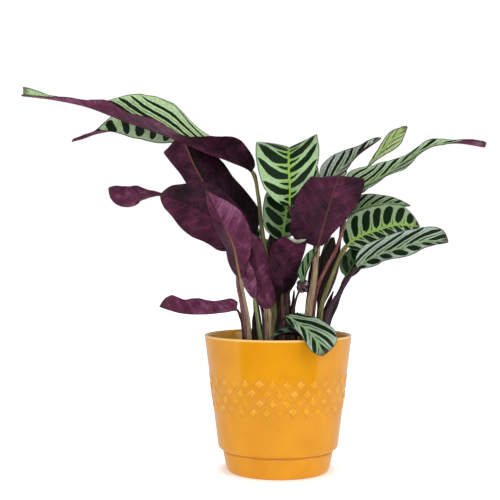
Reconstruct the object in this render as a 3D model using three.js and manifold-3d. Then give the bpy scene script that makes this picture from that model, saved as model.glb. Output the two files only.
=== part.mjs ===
// Potted fishbone prayer plant (Ctenanthe burle-marxii) in a glazed pot with an embossed band.
// Millimetres, +Z up. The pot's axis is X = Y = 0 and it stands on Z = 0. The front is toward -Y.
// Every leaf is a blade on its own stalk, and every stalk stands in a hole in the soil.

import * as THREE from "three";
import { mergeVertices } from "three/addons/utils/BufferGeometryUtils.js";
import Module from "manifold-3d";

// Pot
const POT_HEIGHT = 135;
const POT_RIM_RADIUS = 73.6;
const POT_SHOULDER_RADIUS = 59.8;
const POT_SHOULDER_HEIGHT = 24.5;
const POT_STEP_RADIUS = 55.2;
const POT_STEP_HEIGHT = 20.5;
const POT_FOOT_RADIUS = 51.8;
const POT_BASE_RADIUS = 49.5;
const POT_FOOT_ROUND = 3.5;
const POT_WALL = 3.9;
const POT_FLOOR = 5;
const POT_RIM_ROUND = 1.2;
const POT_SIDES = 64;

// Embossed band: staggered rows of small raised stars round the wall
const BAND_BOTTOM = 60;
const BAND_TOP = 98;
const BAND_ROWS = 7;
const BAND_RELIEF = 0.5;

// Soil
const SOIL_TOP = 122;
const SOIL_CROWN = 1.5;
const SOIL_GAP = 0.3;
const SOIL_SIDES = 40;

// Leaves
const BLADE_THICKNESS = 0.8;
const RIB_THICKNESS = 1.5;
const BLADE_BASE_HALF_WIDTH = 1.5;
const BLADE_BASE_THICKNESS = 2.4;
const BLADE_TIP_HALF_WIDTH = 0.6;
const FLAT_HALF_WIDTH = 5;
const TIGHTEST_ROLL = 1.6;
const STALK_SIDES = 6;
const STALK_DEPTH = 12;
const STALK_GAP = 0.3;
const HOLE_GAP = 0.35;
const HOLE_SIDES = 8;
const OVAL = [0.8, 0.92, 0.99, 1, 0.95, 0.84, 0.66];

// Colours
const GLAZE = 0xe09a12;
const COMPOST = 0x3a2a20;
const LEAF_GREEN = 0x6f9a5c;
const LEAF_PURPLE = 0x4e2238;
const STALK_OLIVE = 0x7d7648;
const STALK_BROWN = 0x4a2c2c;

// One leaf each. Points are [x, y, z]. The stalk starts at foot [x, y] on the soil and ends where
// the rib starts. face is the way the green upper side looks, along the rib. halfWidth times the
// shape shares is the half-width along the rib, with round ends as long as the base and tip shares.
// lift and curl are in degrees, for the left half and the right half: lift is the angle at which a
// half leaves the rib toward the green side, curl is what it turns on to its edge.
// wide scales each half. wave is the height of the edge wave, the number of waves and its phase.
const LEAVES = [
  {
    name: "high_left", seen: "below", cells: [16, 8],
    foot: [-3, -6], stalk: [[-5, -2, 169], [-12, 0, 209], [-17, -2, 247], [-20, -4, 274]],
    rib: [[-26, -6, 297], [-46, -9, 307], [-68, -12, 315], [-91, -18, 324], [-115, -24, 333],
      [-148, -30, 344], [-183, -34, 357], [-216, -36, 364], [-247, -36, 368]],
    face: [[0.2, -0.3, 0.9], [0.2, -0.35, 0.9], [0.2, -0.35, 0.9], [0.15, -0.35, 0.9],
      [0.1, -0.35, 0.9], [0, -0.5, 0.8]],
    halfWidth: 33, shape: [0.72, 0.86, 0.95, 1, 0.88, 0.6, 0.27, 0.13, 0.2], base: 0.15, tip: 0,
    liftLeft: [60, 74, 50, 31, 27, 32, 30, 46, 30, 25, 10],
    curlLeft: [0, 0, 0, 0, 0, 10, 20, 40, 60, 50, 40],
    liftRight: [0, 4, 14, 36, 60, 72, 70, 55, 50, 60, 60],
    curlRight: [0, 0, 10, 10, 10, 10, 10, 10, 10, 20, 50],
    wideRight: [1, 0.9, 0.84, 0.88, 1.12, 0.98, 0.45, 1, 1.3], wave: [1.3, 5, 0.5],
    stalkRadius: [4.2, 1.6], stalkColour: STALK_OLIVE,
  },
  {
    name: "second_left", seen: "above", cells: [12, 6],
    foot: [-10, 16], stalk: [[-12, 24, 168], [-24, 34, 229], [-44, 40, 281], [-60, 41, 307]],
    rib: [[-75, 38, 322], [-95, 31, 333], [-117, 18, 341], [-139, 5, 346], [-158, -3, 345],
      [-172, -6, 339], [-183, -7, 334.5], [-193, -7, 330.5], [-205, -7, 327]],
    face: [[0.1, -0.7, 0.7], [0, -0.7, 0.7], [-0.1, -0.75, 0.6], [-0.15, -0.65, 0.7], [0, -0.4, 0.9]],
    halfWidth: 22, shape: [0.8, 0.95, 1, 1, 0.95, 0.84, 0.55, 0.34, 0.3], base: 0.15, tip: 0.05,
    liftLeft: [5, 5, 0, -6, -16, -8, 12], curlLeft: [0, 0, 0, 0, 20, 110, 60],
    liftRight: [15, 15, 15, 15, 20, 15, 12], curlRight: [0, 0, 5, 10, 20, 90, 50],
    wideLeft: [0.4, 0.6, 1, 1, 1, 1], wideRight: [1, 1, 1, 1, 0.95, 0.8, 0.56, 0.2, 0.3], stalkColour: STALK_BROWN,
  },
  {
    name: "dark_back_left", seen: "below", cells: [12, 6],
    foot: [-20, 4], stalk: [[-22, 6, 151], [-26, 8, 189]],
    rib: [[-35, 8, 221], [-53, 4, 255], [-69, 0, 279], [-79, -2, 295], [-87, -4, 311],
      [-90.5, -6, 320], [-94, -7, 328], [-97, -7, 333]],
    face: [[-0.1, 0.9, 0.3], [-0.1, 0.9, 0.3], [-0.1, 0.9, 0.2], [-0.1, 0.85, 0.4], [-0.15, 0.8, 0.5]],
    halfWidth: 31, shape: [0.8, 1, 1, 0.98, 0.94, 0.86, 0.7], tip: 0.08,
    liftLeft: [20, 25, 25, 25], curlLeft: [0, 10, 10, 10],
    liftRight: [20, 30, 25, 15, 5], curlRight: [0, 10, 10, 0, -10],
    wideLeft: [1, 1.1, 1.1, 1.04, 1, 0.75, 0.3],
    wideRight: [1, 1, 0.9, 0.75, 0.62, 0.6, 0.64, 0.88, 1.15], stalkColour: STALK_BROWN,
  },
  {
    name: "broad_left", seen: "below", cells: [10, 6],
    foot: [-32, -10], stalk: [[-36, -10, 165], [-40, -8, 187], [-39, -5, 205]],
    rib: [[-35, -3, 222], [-50, -7, 238], [-69.5, -13, 253], [-92, -18, 264.5], [-116, -21, 273]],
    face: [[0, 0.95, 0.1], [0, 0.95, 0.1], [0, 0.95, 0.2]],
    halfWidth: 25.5, shape: [0.85, 0.98, 1, 0.98, 0.9, 0.72, 0.5], base: 0.2, tip: 0.1,
    liftLeft: [15], curlLeft: [0, 10], liftRight: [15], curlRight: [0, 10],
    wideLeft: [1, 1, 1.05, 1.2, 1.2, 0.95, 0.7],
    wideRight: [0.9, 0.9, 1, 1.13, 1.12, 0.94, 0.7], wave: [1.2, 3.4, 0],
    stalkRadius: [3, 1.6], stalkColour: STALK_BROWN,
  },
  {
    name: "far_left_tip", seen: "below", cells: [10, 4],
    foot: [-16, 20], stalk: [[-20, 26, 157], [-34, 32, 207], [-63, 32, 248], [-89, 24, 268]],
    rib: [[-111, 12, 275], [-124, 6, 275], [-138, 0, 274], [-153, 0, 273], [-169, -3, 281]],
    face: [[0.2, 0.9, 0.2], [0.1, 0.9, 0.2], [0, 0.9, 0.2], [0, 0.95, 0]],
    halfWidth: 11, shape: [0.12, 0.2, 0.45, 0.85, 1, 0.95, 0.7, 0.4], base: 0.02, tip: 0.12,
    liftLeft: [40, 30, 10], curlLeft: [40, 20, 0], liftRight: [40, 30, 10], curlRight: [40, 20, 0],
    wideRight: [1, 1, 1.1, 1.35, 1.1], wave: [2, 3.6, 2.6], stalkRadius: [2.4, 1.2],
    stalkColour: STALK_BROWN,
  },
  {
    name: "front_mauve", seen: "below", cells: [11, 6],
    foot: [-28, -32], stalk: [[-30, -31, 153], [-34, -32, 174]],
    rib: [[-37, -33, 191], [-40, -34, 205], [-44, -36, 224], [-55, -35, 246], [-71, -29, 278]],
    face: [[0.45, 0.85, 0.1], [0.45, 0.85, 0.1], [0.4, 0.85, 0.2]],
    halfWidth: 23, shape: [0.7, 0.85, 0.95, 1, 1, 0.9, 0.6], base: 0.25, tip: 0.46,
    liftLeft: [25, 25, 20], curlLeft: [0, 10], liftRight: [35, 35, 30], curlRight: [0, 10],
    wideLeft: [0.45, 0.63, 0.81, 0.94, 0.92, 0.72, 0.45], wave: [0.8, 2.5, 1], stalkColour: STALK_OLIVE,
  },
  {
    name: "mauve_strip", seen: "below", cells: [7, 4],
    foot: [-16, -28], stalk: [[-21, -27, 153]],
    rib: [[-24, -25, 172], [-28, -26, 185], [-32, -27, 200], [-36, -27, 214]],
    face: [[0.2, 0.9, 0.1]],
    halfWidth: 8, base: 0.4, tip: 0.4,
    liftLeft: [40, 30], curlLeft: [0], liftRight: [30, 20], curlRight: [0],
    stalkColour: STALK_OLIVE,
  },
  {
    name: "magenta_left", seen: "below", cells: [9, 6],
    foot: [-9, -16], stalk: [[-10, -17, 140]],
    rib: [[-11, -19, 161], [-15, -20, 180], [-20, -20, 199], [-25, -19, 219], [-31, -17, 237]],
    face: [[0.1, 0.95, 0.1]],
    halfWidth: 12.5, shape: [0.75, 0.9, 0.96, 1, 1, 0.9, 0.8], base: 0.14, tip: 0.2,
    liftLeft: [25, 20], curlLeft: [0, 10], liftRight: [25, 20], curlRight: [0, 20],
    wideRight: [1, 1.2, 1.4, 1.3, 1], wave: [0.8, 2.5, 0.4],
    stalkRadius: [4.6, 3], stalkColour: STALK_OLIVE,
  },
  {
    name: "low_left", seen: "below", cells: [10, 6],
    foot: [-34, -24], stalk: [[-35, -24, 139], [-37, -24, 152]],
    rib: [[-41, -26, 161], [-51, -29, 160], [-72, -33, 158], [-94, -36, 159], [-115, -38, 165]],
    face: [[0, -0.1, 1]],
    halfWidth: 16, shape: [0.9, 0.95, 0.96, 1, 1, 1, 1], base: 0.1, tip: 0.12,
    liftLeft: [55], curlLeft: [0, 20, 30], liftRight: [30], curlRight: [0, 20, 20],
    wave: [1.2, 2, 1], stalkRadius: [1.5, 1], stalkColour: STALK_BROWN,
  },
  {
    name: "centre_face", seen: "above", cells: [13, 6],
    foot: [9, -9], stalk: [[9, -11, 170], [12, -15, 201], [17, -18, 224], [16, -22, 243]],
    rib: [[11, -21, 262], [11, -23, 278], [10, -22, 297], [10, -16, 313], [11, 0, 322],
      [15, 19, 319], [17, 33, 306], [19, 41, 288]],
    face: [[0, -0.95, 0.2], [0, -0.95, 0.2], [0, -0.85, 0.5], [0, -0.1, 1], [0, 0.6, 0.8], [0, 0.9, 0.3]],
    halfWidth: 35, shape: [0.55, 0.82, 0.97, 1, 1, 0.9, 0.7], base: 0.15,
    liftLeft: [20, 22, 22, 14, 10, 20], curlLeft: [0, 0, -10, -20, 0, 0],
    liftRight: [14, 9, 10, 27, 30, 22], curlRight: [0],
    wideLeft: [1, 1, 1, 0.92, 0.76, 0.8, 0.8], wideRight: [0.64, 0.76, 0.86, 0.87, 0.82, 0.72, 0.7],
    stalkColour: STALK_BROWN,
  },
  {
    name: "centre_low", seen: "above", cells: [8, 4],
    foot: [3, 4], stalk: [[1, 4, 169], [2, 0, 207]],
    rib: [[4, -4, 228], [6, -7, 243], [8, -6, 259], [8, -1, 273], [7, 8, 287]],
    face: [[-0.15, -0.95, 0.3], [-0.15, -0.95, 0.3], [-0.1, -0.9, 0.5], [-0.1, -0.6, 0.8]],
    halfWidth: 24, shape: [0.5, 0.8, 0.95, 1, 0.95, 0.85, 0.7], base: 0.2,
    liftLeft: [25, 20], curlLeft: [0], liftRight: [15], curlRight: [0], wideRight: [0.6, 0.6, 0.7],
    stalkColour: STALK_BROWN,
  },
  {
    name: "upright_purple", seen: "below", cells: [12, 6],
    foot: [27, -20], stalk: [[29, -24, 158], [34, -33, 192]],
    rib: [[37, -38, 222], [42, -41, 242], [48, -41, 262], [53, -38, 277], [57, -32, 288],
      [58, -23, 291], [58, -13, 285], [58, -9, 276]],
    face: [[0, 1, -0.1], [0, 1, -0.1], [0, 0.97, -0.25], [0, 0.85, -0.5], [0, 0.05, -1], [0, -0.95, -0.3]],
    halfWidth: 31, shape: [0.92, 0.92, 0.95, 1, 0.95, 0.85, 0.6], base: 0.07,
    liftLeft: [18, 15, 5, 0], curlLeft: [0, 5, 0], liftRight: [14, 4, 2, 0], curlRight: [0, 5, 0],
    wideLeft: [0.2, 0.36, 0.58, 0.74, 0.83, 0.88, 0.94, 1, 1], wideRight: [1.02, 1.12, 0.84, 0.65],
    wave: [1, 2.5, 0.3], stalkRadius: [4.8, 2.4], stalkColour: STALK_OLIVE,
  },
  {
    name: "curl_top_right", seen: "above", cells: [11, 6],
    foot: [29, 14], stalk: [[33, 20, 168], [38, 28, 214], [42, 29, 255]],
    rib: [[49, 27, 283], [58, 23, 295], [69, 20, 305], [79, 13, 314], [91, 10, 323], [104, 8, 332]],
    face: [[-0.4, -0.7, 0.6]],
    halfWidth: 19, shape: [0.8, 1, 1, 0.72, 0.4, 0.34, 0.3], base: 0.2, tip: 0.2,
    liftLeft: [20, 20, 20, 12, 10], curlLeft: [0, 0, 10, 90, 50],
    liftRight: [20, 20, 20, 12, 10], curlRight: [0, 0, 10, 90, 50], stalkColour: STALK_BROWN,
  },
  {
    name: "spear_right", seen: "above", cells: [8, 4],
    foot: [35, 26], stalk: [[39, 36, 178], [59, 36, 245], [77, 30, 286]],
    rib: [[93, 22, 305], [104, 19, 318], [117, 16, 332], [131, 12, 344]],
    face: [[-0.5, -0.8, 0.5], [-0.3, -0.8, 0.5]],
    halfWidth: 11, shape: [0.2, 0.4, 0.7, 0.95, 1, 0.9, 0.6], base: 0.05, tip: 0.4,
    wideLeft: [0.5, 0.6, 0.8, 1, 1], wideRight: [0.6, 0.8, 1.05, 1.2, 1.1],
    liftLeft: [60], curlLeft: [60, 50], liftRight: [0], curlRight: [0, 20],
    stalkRadius: [2, 1], stalkColour: STALK_BROWN,
  },
  {
    name: "long_right", seen: "above", cells: [14, 6],
    foot: [34, -6],
    stalk: [[35, -10, 160], [39, -15, 184], [46, -20, 200], [54, -24, 215], [60, -26, 231],
      [64, -20, 245], [68, -10, 259]],
    rib: [[74, 9, 272], [85, 7, 283], [102, 2, 291.5], [121, -4, 304], [136, -9, 314.5],
      [152, -12, 322], [174, -13, 325], [204, -13, 321]],
    face: [[-0.2, -0.4, 0.85], [-0.2, -0.4, 0.9], [-0.1, -0.5, 0.9], [0, -0.4, 0.95], [0.1, -0.2, 0.95]],
    halfWidth: 14, shape: [0.8, 1, 1, 1.05, 0.95, 0.55, 0.4, 0.4], base: 0.1, tip: 0,
    liftLeft: [45, 34, 14, 12, 12], curlLeft: [0, 0, 10, 60, 110],
    liftRight: [5, 5, 5, 10, 20], curlRight: [0, 0, 10, 30, 90],
    wideLeft: [1.7, 1.6, 1.25, 0.62, 0.6, 0.62, 0.75, 1, 1],
    wave: [2, 3.2, 1], stalkRadius: [2.4, 1.4], stalkColour: STALK_BROWN,
  },
  {
    name: "broad_right", seen: "above", cells: [10, 6],
    foot: [39, -12], stalk: [[44, -14, 169], [51, -17, 189], [58, -19, 207]],
    rib: [[67, -18, 223], [79, -20, 232], [97, -22, 239], [116, -24, 244], [138, -23, 242]],
    face: [[-0.15, -0.75, 0.65]],
    halfWidth: 28, shape: [0.8, 0.95, 1, 1, 0.95, 0.82, 0.6], base: 0.14, tip: 0.25,
    liftLeft: [15, 12, 12], curlLeft: [0, -10, -20], liftRight: [-20, -28, -24], curlRight: [0],
    wideLeft: [0.55, 0.95, 1, 1, 1], wideRight: [0.5, 0.52, 0.5, 0.42, 0.3],
    stalkRadius: [3, 1.8], stalkColour: STALK_OLIVE,
  },
  {
    name: "narrow_behind_right", seen: "above", cells: [8, 4],
    foot: [38, 8], stalk: [[45, 12, 164], [53, 15, 179], [61, 20, 201], [64, 24, 229]],
    rib: [[69, 24, 252], [90, 18, 263], [112, 11, 266], [133, 4, 264]],
    face: [[-0.1, -0.6, 0.8]],
    halfWidth: 14.5,
    liftLeft: [20], curlLeft: [0], liftRight: [20], curlRight: [0], wideLeft: [1.5, 1.15, 0.7, 0.5],
    wideRight: [1.3, 1.4, 1.2],
    stalkRadius: [2.8, 1.4], stalkColour: STALK_BROWN,
  },
  {
    name: "low_right", seen: "above", cells: [11, 6],
    foot: [42, -20], stalk: [[50, -22, 163], [62, -24, 181]],
    rib: [[76, -28, 202], [95, -37, 214], [115, -48, 221], [136, -55, 227], [159, -56, 227]],
    face: [[-0.2, -0.75, 0.6]],
    halfWidth: 17, shape: [0.7, 0.92, 0.97, 0.98, 0.92, 0.8, 0.62], base: 0.2, tip: 0.1,
    liftLeft: [20, 15, 15, 20], curlLeft: [0, 0, 0, 60],
    liftRight: [15, 15, 15, 20], curlRight: [0, 0, 0, 60],
    wideRight: [0.8, 0.76, 0.86, 0.84, 0.84, 0.9, 1], wave: [1.2, 2.4, 0.4],
    stalkRadius: [2.8, 1.5], stalkColour: STALK_BROWN,
  },
  {
    name: "dark_behind_right", seen: "above", cells: [8, 4],
    foot: [44, 2], stalk: [[55, 0, 165], [62, 0, 179]],
    rib: [[68, -1, 192], [76, 1, 205], [91, 6, 218], [112, 11, 227]],
    face: [[-0.2, -0.8, 0.6]],
    halfWidth: 14,
    liftLeft: [25], curlLeft: [0], liftRight: [25], curlRight: [0], stalkColour: STALK_BROWN,
  },
  {
    name: "centre_purple", seen: "below", cells: [12, 6],
    foot: [4, -21], stalk: [[4, -21, 152]],
    rib: [[4, -22, 176], [5, -26, 193], [8, -29, 208], [12, -33, 219.5], [15, -39, 226.5],
      [17, -44.5, 229], [18, -49, 225]],
    face: [[0, 0.95, 0.1], [0, 0.95, 0.1], [0.05, 0.95, 0.2], [0.25, 0.8, 0.6], [0.25, 0.1, 1],
      [0.1, -0.95, 0.3]],
    halfWidth: 22, shape: [0.5, 0.66, 0.84, 1, 1, 0.9, 0.7], base: 0.15, tip: 0.12,
    wideLeft: [0.9, 0.75, 0.62, 0.6, 0.6], wideRight: [0.8, 0.84, 0.9, 0.74, 0.5],
    liftLeft: [25, 20, 10, 5], curlLeft: [0], liftRight: [25, 20, 10, 5], curlRight: [0],
    stalkColour: STALK_BROWN,
  },
  {
    name: "young_centre", seen: "above", cells: [8, 4],
    foot: [14, -20], stalk: [[15, -27, 163], [17, -33, 173]],
    rib: [[23, -38, 188], [26, -43, 199], [31, -47, 210], [37, -50, 222]],
    face: [[-0.6, -0.7, 0.2]],
    halfWidth: 8,
    liftLeft: [30], curlLeft: [30, 40, 60], liftRight: [30], curlRight: [30, 40, 60],
    stalkRadius: [1.6, 1], stalkColour: STALK_BROWN,
  },
  {
    name: "rim_drape", seen: "above", cells: [9, 4],
    foot: [2, -30], stalk: [[2, -34, 142], [3, -41, 152]],
    rib: [[6, -50, 156], [16, -59, 151], [26, -69, 144], [34, -79, 134], [39, -83, 122]],
    face: [[-0.2, -0.2, 0.95], [-0.1, -0.6, 0.8], [0, -0.9, 0.3], [0, -1, 0]],
    halfWidth: 15, shape: [0.8, 0.95, 1, 1, 1, 1, 0.96], tip: 0.3,
    liftLeft: [10, 5], curlLeft: [-10, -20], liftRight: [10, 5], curlRight: [-10, -20],
    wideLeft: [0.9, 1.05, 1.3, 1.6], wideRight: [0.5, 0.52, 0.62, 0.8],
    stalkRadius: [1.6, 1], stalkColour: STALK_BROWN,
  },
  {
    name: "low_front_soil", seen: "above", cells: [7, 4],
    foot: [35, -30], stalk: [[35, -36, 127]],
    rib: [[28, -46, 134], [17, -52, 139], [4, -55, 140], [-9, -56, 136]],
    face: [[0, -0.2, 1]],
    halfWidth: 9,
    liftLeft: [25], curlLeft: [0], liftRight: [25], curlRight: [0],
    stalkRadius: [1.8, 1], stalkColour: STALK_BROWN,
  },
  {
    name: "back_centre", seen: "above", cells: [8, 4],
    foot: [10, 30], stalk: [[11, 34, 167], [16, 38, 207]],
    rib: [[20, 42, 238], [21, 50, 266], [20, 62, 295], [18, 82, 316], [17, 112, 319]],
    face: [[0.1, -0.9, 0.5], [0.1, -0.7, 0.7], [0, -0.1, 1]],
    halfWidth: 26,
    liftLeft: [25], curlLeft: [0], liftRight: [25], curlRight: [0], stalkColour: STALK_OLIVE,
  },
  {
    name: "back_right", seen: "above", cells: [8, 4],
    foot: [24, 36], stalk: [[35, 42, 171], [45, 44, 206]],
    rib: [[59, 46, 242], [76, 58, 260], [95, 78, 268], [117, 100, 265]],
    face: [[-0.2, -0.5, 0.85], [0, 0.1, 1]],
    halfWidth: 20,
    liftLeft: [25], curlLeft: [0], liftRight: [25], curlRight: [0], stalkColour: STALK_OLIVE,
  },
  {
    name: "back_left", seen: "above", cells: [8, 4],
    foot: [-5, 34], stalk: [[-7, 38, 167], [-16, 40, 196]],
    rib: [[-28, 44, 219], [-41, 60, 238], [-56, 82, 249], [-72, 106, 250]],
    face: [[0.2, -0.5, 0.85], [0, 0.1, 1]],
    halfWidth: 22,
    liftLeft: [25], curlLeft: [0], liftRight: [25], curlRight: [0], stalkColour: STALK_OLIVE,
  },
  {
    name: "back_low_right", seen: "above", cells: [8, 4],
    foot: [32, 42], stalk: [[39, 48, 167]],
    rib: [[48, 52, 196], [63, 72, 206], [82, 95, 212], [97, 116, 215]],
    face: [[-0.2, -0.3, 0.95], [0, 0.3, 1]],
    halfWidth: 19,
    liftLeft: [25], curlLeft: [0], liftRight: [25], curlRight: [0], stalkColour: STALK_BROWN,
  },
  {
    name: "back_low_left", seen: "above", cells: [8, 4],
    foot: [-13, 40], stalk: [[-15, 46, 156]],
    rib: [[-24, 54, 181], [-28, 68, 200], [-33, 88, 212], [-39, 110, 219]],
    face: [[0.2, -0.3, 0.95], [0, 0.3, 1]],
    halfWidth: 20,
    liftLeft: [25], curlLeft: [0], liftRight: [25], curlRight: [0], stalkColour: STALK_BROWN,
  },
  {
    name: "back_middle", seen: "above", cells: [8, 4],
    foot: [8, 46], stalk: [[5, 50, 164]],
    rib: [[0, 54, 185], [-1, 66, 206], [-2, 84, 222], [-1, 112, 229]],
    face: [[0, -0.3, 0.95], [0, 0.3, 1]],
    halfWidth: 22,
    liftLeft: [25], curlLeft: [0], liftRight: [25], curlRight: [0], stalkColour: STALK_BROWN,
  },
];

const wasm = await Module();
wasm.setup();

// Small vector helpers on [x, y, z]
const add = (a, b) => [a[0] + b[0], a[1] + b[1], a[2] + b[2]];
const sub = (a, b) => [a[0] - b[0], a[1] - b[1], a[2] - b[2]];
const scale = (a, k) => [a[0] * k, a[1] * k, a[2] * k];
const dot = (a, b) => a[0] * b[0] + a[1] * b[1] + a[2] * b[2];
const cross = (a, b) => [a[1] * b[2] - a[2] * b[1], a[2] * b[0] - a[0] * b[2], a[0] * b[1] - a[1] * b[0]];
const unit = (a) => scale(a, 1 / Math.hypot(...a));
const clamp = (x, low, high) => Math.min(Math.max(x, low), high);

// Cubic between p and q with end slopes m and n over a span h, at share u
function hermite(p, m, q, n, h, u) {
  const a = 2 * u ** 3 - 3 * u ** 2 + 1;
  const b = (u ** 3 - 2 * u ** 2 + u) * h;
  const c = -2 * u ** 3 + 3 * u ** 2;
  const d = (u ** 3 - u ** 2) * h;
  return add(add(scale(p, a), scale(m, b)), add(scale(q, c), scale(n, d)));
}

// Smooth curve through points, measured by its chord length
function smoothCurve(points) {
  const reach = [0];
  for (let i = 1; i < points.length; i++) {
    reach.push(reach[i - 1] + Math.hypot(...sub(points[i], points[i - 1])));
  }
  const last = points.length - 1;
  const slope = points.map((point, i) => {
    if (i === 0) return scale(sub(points[1], point), 1 / reach[1]);
    if (i === last) return scale(sub(point, points[i - 1]), 1 / (reach[i] - reach[i - 1]));
    const before = reach[i] - reach[i - 1];
    const after = reach[i + 1] - reach[i];
    const back = scale(sub(point, points[i - 1]), after / before);
    const ahead = scale(sub(points[i + 1], point), before / after);
    return scale(add(back, ahead), 1 / (before + after));
  });
  const at = (distance) => {
    const s = clamp(distance, 0, reach[last]);
    let k = 0;
    while (k < last - 1 && reach[k + 1] <= s) k++;
    const span = reach[k + 1] - reach[k];
    return hermite(points[k], slope[k], points[k + 1], slope[k + 1], span, (s - reach[k]) / span);
  };
  return { at, reach };
}

// Smooth values at even steps from t = 0 to t = 1, numbers or vectors
function along(values, t) {
  const list = values.map((value) => (Array.isArray(value) ? value : [value, 0, 0]));
  const last = list.length - 1;
  if (last === 0) return list[0];
  const x = clamp(t, 0, 1) * last;
  const k = Math.min(Math.floor(x), last - 1);
  const slope = (i) => {
    if (i === 0) return sub(list[1], list[0]);
    if (i === last) return sub(list[last], list[last - 1]);
    return scale(sub(list[i + 1], list[i - 1]), 0.5);
  };
  return hermite(list[k], slope(k), list[k + 1], slope(k + 1), 1, x - k);
}

const alongNumber = (values, t) => along(values, t)[0];

// Curve of a whole leaf, from the soil through the stalk to the end of the rib
function leafPath(leaf) {
  const foot = [leaf.foot[0], leaf.foot[1], SOIL_TOP];
  const points = [foot, ...leaf.stalk, ...leaf.rib];
  const curve = smoothCurve(points);
  const junction = curve.reach[1 + leaf.stalk.length];
  const end = curve.reach[points.length - 1];
  const steps = 300;
  const length = [0];
  let before = curve.at(junction);
  for (let i = 1; i < steps; i++) {
    const point = curve.at(junction + (end - junction) * i / (steps - 1));
    length.push(length[i - 1] + Math.hypot(...sub(point, before)));
    before = point;
  }
  const ribAt = (t) => {
    const wanted = clamp(t, 0, 1) * length[steps - 1];
    let i = 0;
    while (i < steps - 2 && length[i + 1] < wanted) i++;
    const share = (wanted - length[i]) / (length[i + 1] - length[i]);
    return junction + (end - junction) * (i + share) / (steps - 1);
  };
  return { curve, junction, end, ribAt };
}

// Point of the blade's middle surface: t runs along the rib, v from -1 to 1 across it
function bladePoint(leaf, path, t, v) {
  const s = path.ribAt(t);
  const centre = path.curve.at(s);
  const step = 0.5;
  const next = path.curve.at(Math.min(s + step, path.end));
  const previous = path.curve.at(Math.max(s - step, 0));
  const tangent = unit(sub(next, previous));
  const facing = along(leaf.face, t);
  const normal = unit(sub(facing, scale(tangent, dot(facing, tangent))));
  const side = cross(tangent, normal);
  const left = v < 0;
  const shape = leaf.shape ?? OVAL;
  const base = clamp(1 - t / (leaf.base ?? 0.22), 0, 1);
  const tipShare = leaf.tip ?? 0.35;
  const tip = tipShare > 0 ? clamp(1 - (1 - t) / tipShare, 0, 1) : 0;
  let half = leaf.halfWidth * alongNumber(shape, t) * Math.sqrt(1 - base * base) * (1 - tip * tip) ** 0.7;
  half = Math.max(half, BLADE_TIP_HALF_WIDTH);
  const wide = left ? leaf.wideLeft : leaf.wideRight;
  if (wide) half *= alongNumber(wide, t);
  let lift = THREE.MathUtils.degToRad(alongNumber(left ? leaf.liftLeft : leaf.liftRight, t));
  lift *= Math.min(half / FLAT_HALF_WIDTH, 1);
  let curl = THREE.MathUtils.degToRad(alongNumber(left ? leaf.curlLeft : leaf.curlRight, t));
  curl = clamp(curl, -half / TIGHTEST_ROLL, half / TIGHTEST_ROLL);
  if (Math.abs(curl) < 0.001) curl = 0.001;
  const x = Math.abs(v);
  const bend = half / curl;
  const out = bend * (Math.sin(lift + curl * x) - Math.sin(lift));
  let up = -bend * (Math.cos(lift + curl * x) - Math.cos(lift));
  const [height, count, phase] = leaf.wave ?? [0, 3, 0];
  const shift = left ? 0 : 1.3;
  const fade = Math.sqrt(Math.max(Math.sin(Math.PI * clamp(t, 0, 1)), 0));
  up += height * Math.sin(2 * Math.PI * count * t + phase + shift) * x * x * fade;
  const point = add(centre, add(scale(side, left ? -out : out), scale(normal, up)));
  return { point, centre, tangent, normal, side, lift };
}

// Way out of the green side at one place of the blade
function bladeNormal(leaf, path, t, v) {
  if (v === 0) return bladePoint(leaf, path, t, 0).normal;
  const dt = 0.004;
  const dv = 0.01;
  const a = bladePoint(leaf, path, Math.max(t - dt, 0), v).point;
  const b = bladePoint(leaf, path, Math.min(t + dt, 1), v).point;
  const inner = Math.sign(v) * Math.max(Math.abs(v) - dv, 0.001);
  const outer = Math.sign(v) * Math.min(Math.abs(v) + dv, 1);
  const c = bladePoint(leaf, path, t, Math.min(inner, outer)).point;
  const d = bladePoint(leaf, path, t, Math.max(inner, outer)).point;
  return unit(cross(sub(d, c), sub(b, a)));
}

// Rows closer together toward both ends of the blade
function rowShare(i, cells) {
  const t = i / cells;
  return t - 0.4 * Math.sin(2 * Math.PI * t) / (2 * Math.PI);
}

// Closed triangle mesh from points and faces
function closedMesh(points, faces) {
  const geometry = new THREE.BufferGeometry();
  geometry.setAttribute("position", new THREE.Float32BufferAttribute(points.flat(), 3));
  geometry.setIndex(faces.flat());
  return geometry;
}

// Faces of a grid of rows by columns, both sides and the edge all round, split alike
function slabFaces(rows, columns) {
  const top = (i, j) => i * columns + j;
  const below = (i, j) => rows * columns + i * columns + j;
  const middle = (columns - 1) / 2;
  const faces = [];
  for (let i = 0; i < rows - 1; i++) {
    for (let j = 0; j < columns - 1; j++) {
      const corners = [[i, j], [i, j + 1], [i + 1, j + 1], [i + 1, j]];
      if (j >= middle) corners.push(corners.shift());
      const [a, b, c, d] = corners;
      faces.push([top(...a), top(...b), top(...c)], [top(...a), top(...c), top(...d)]);
      faces.push([below(...a), below(...c), below(...b)], [below(...a), below(...d), below(...c)]);
    }
  }
  const ring = [];
  for (let j = 0; j < columns; j++) ring.push([0, j]);
  for (let i = 1; i < rows; i++) ring.push([i, columns - 1]);
  for (let j = columns - 2; j >= 0; j--) ring.push([rows - 1, j]);
  for (let i = rows - 2; i > 0; i--) ring.push([i, 0]);
  for (let k = 0; k < ring.length; k++) {
    const a = ring[k];
    const b = ring[(k + 1) % ring.length];
    faces.push([top(...a), below(...a), below(...b)], [top(...a), below(...b), top(...b)]);
  }
  return faces;
}

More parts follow.
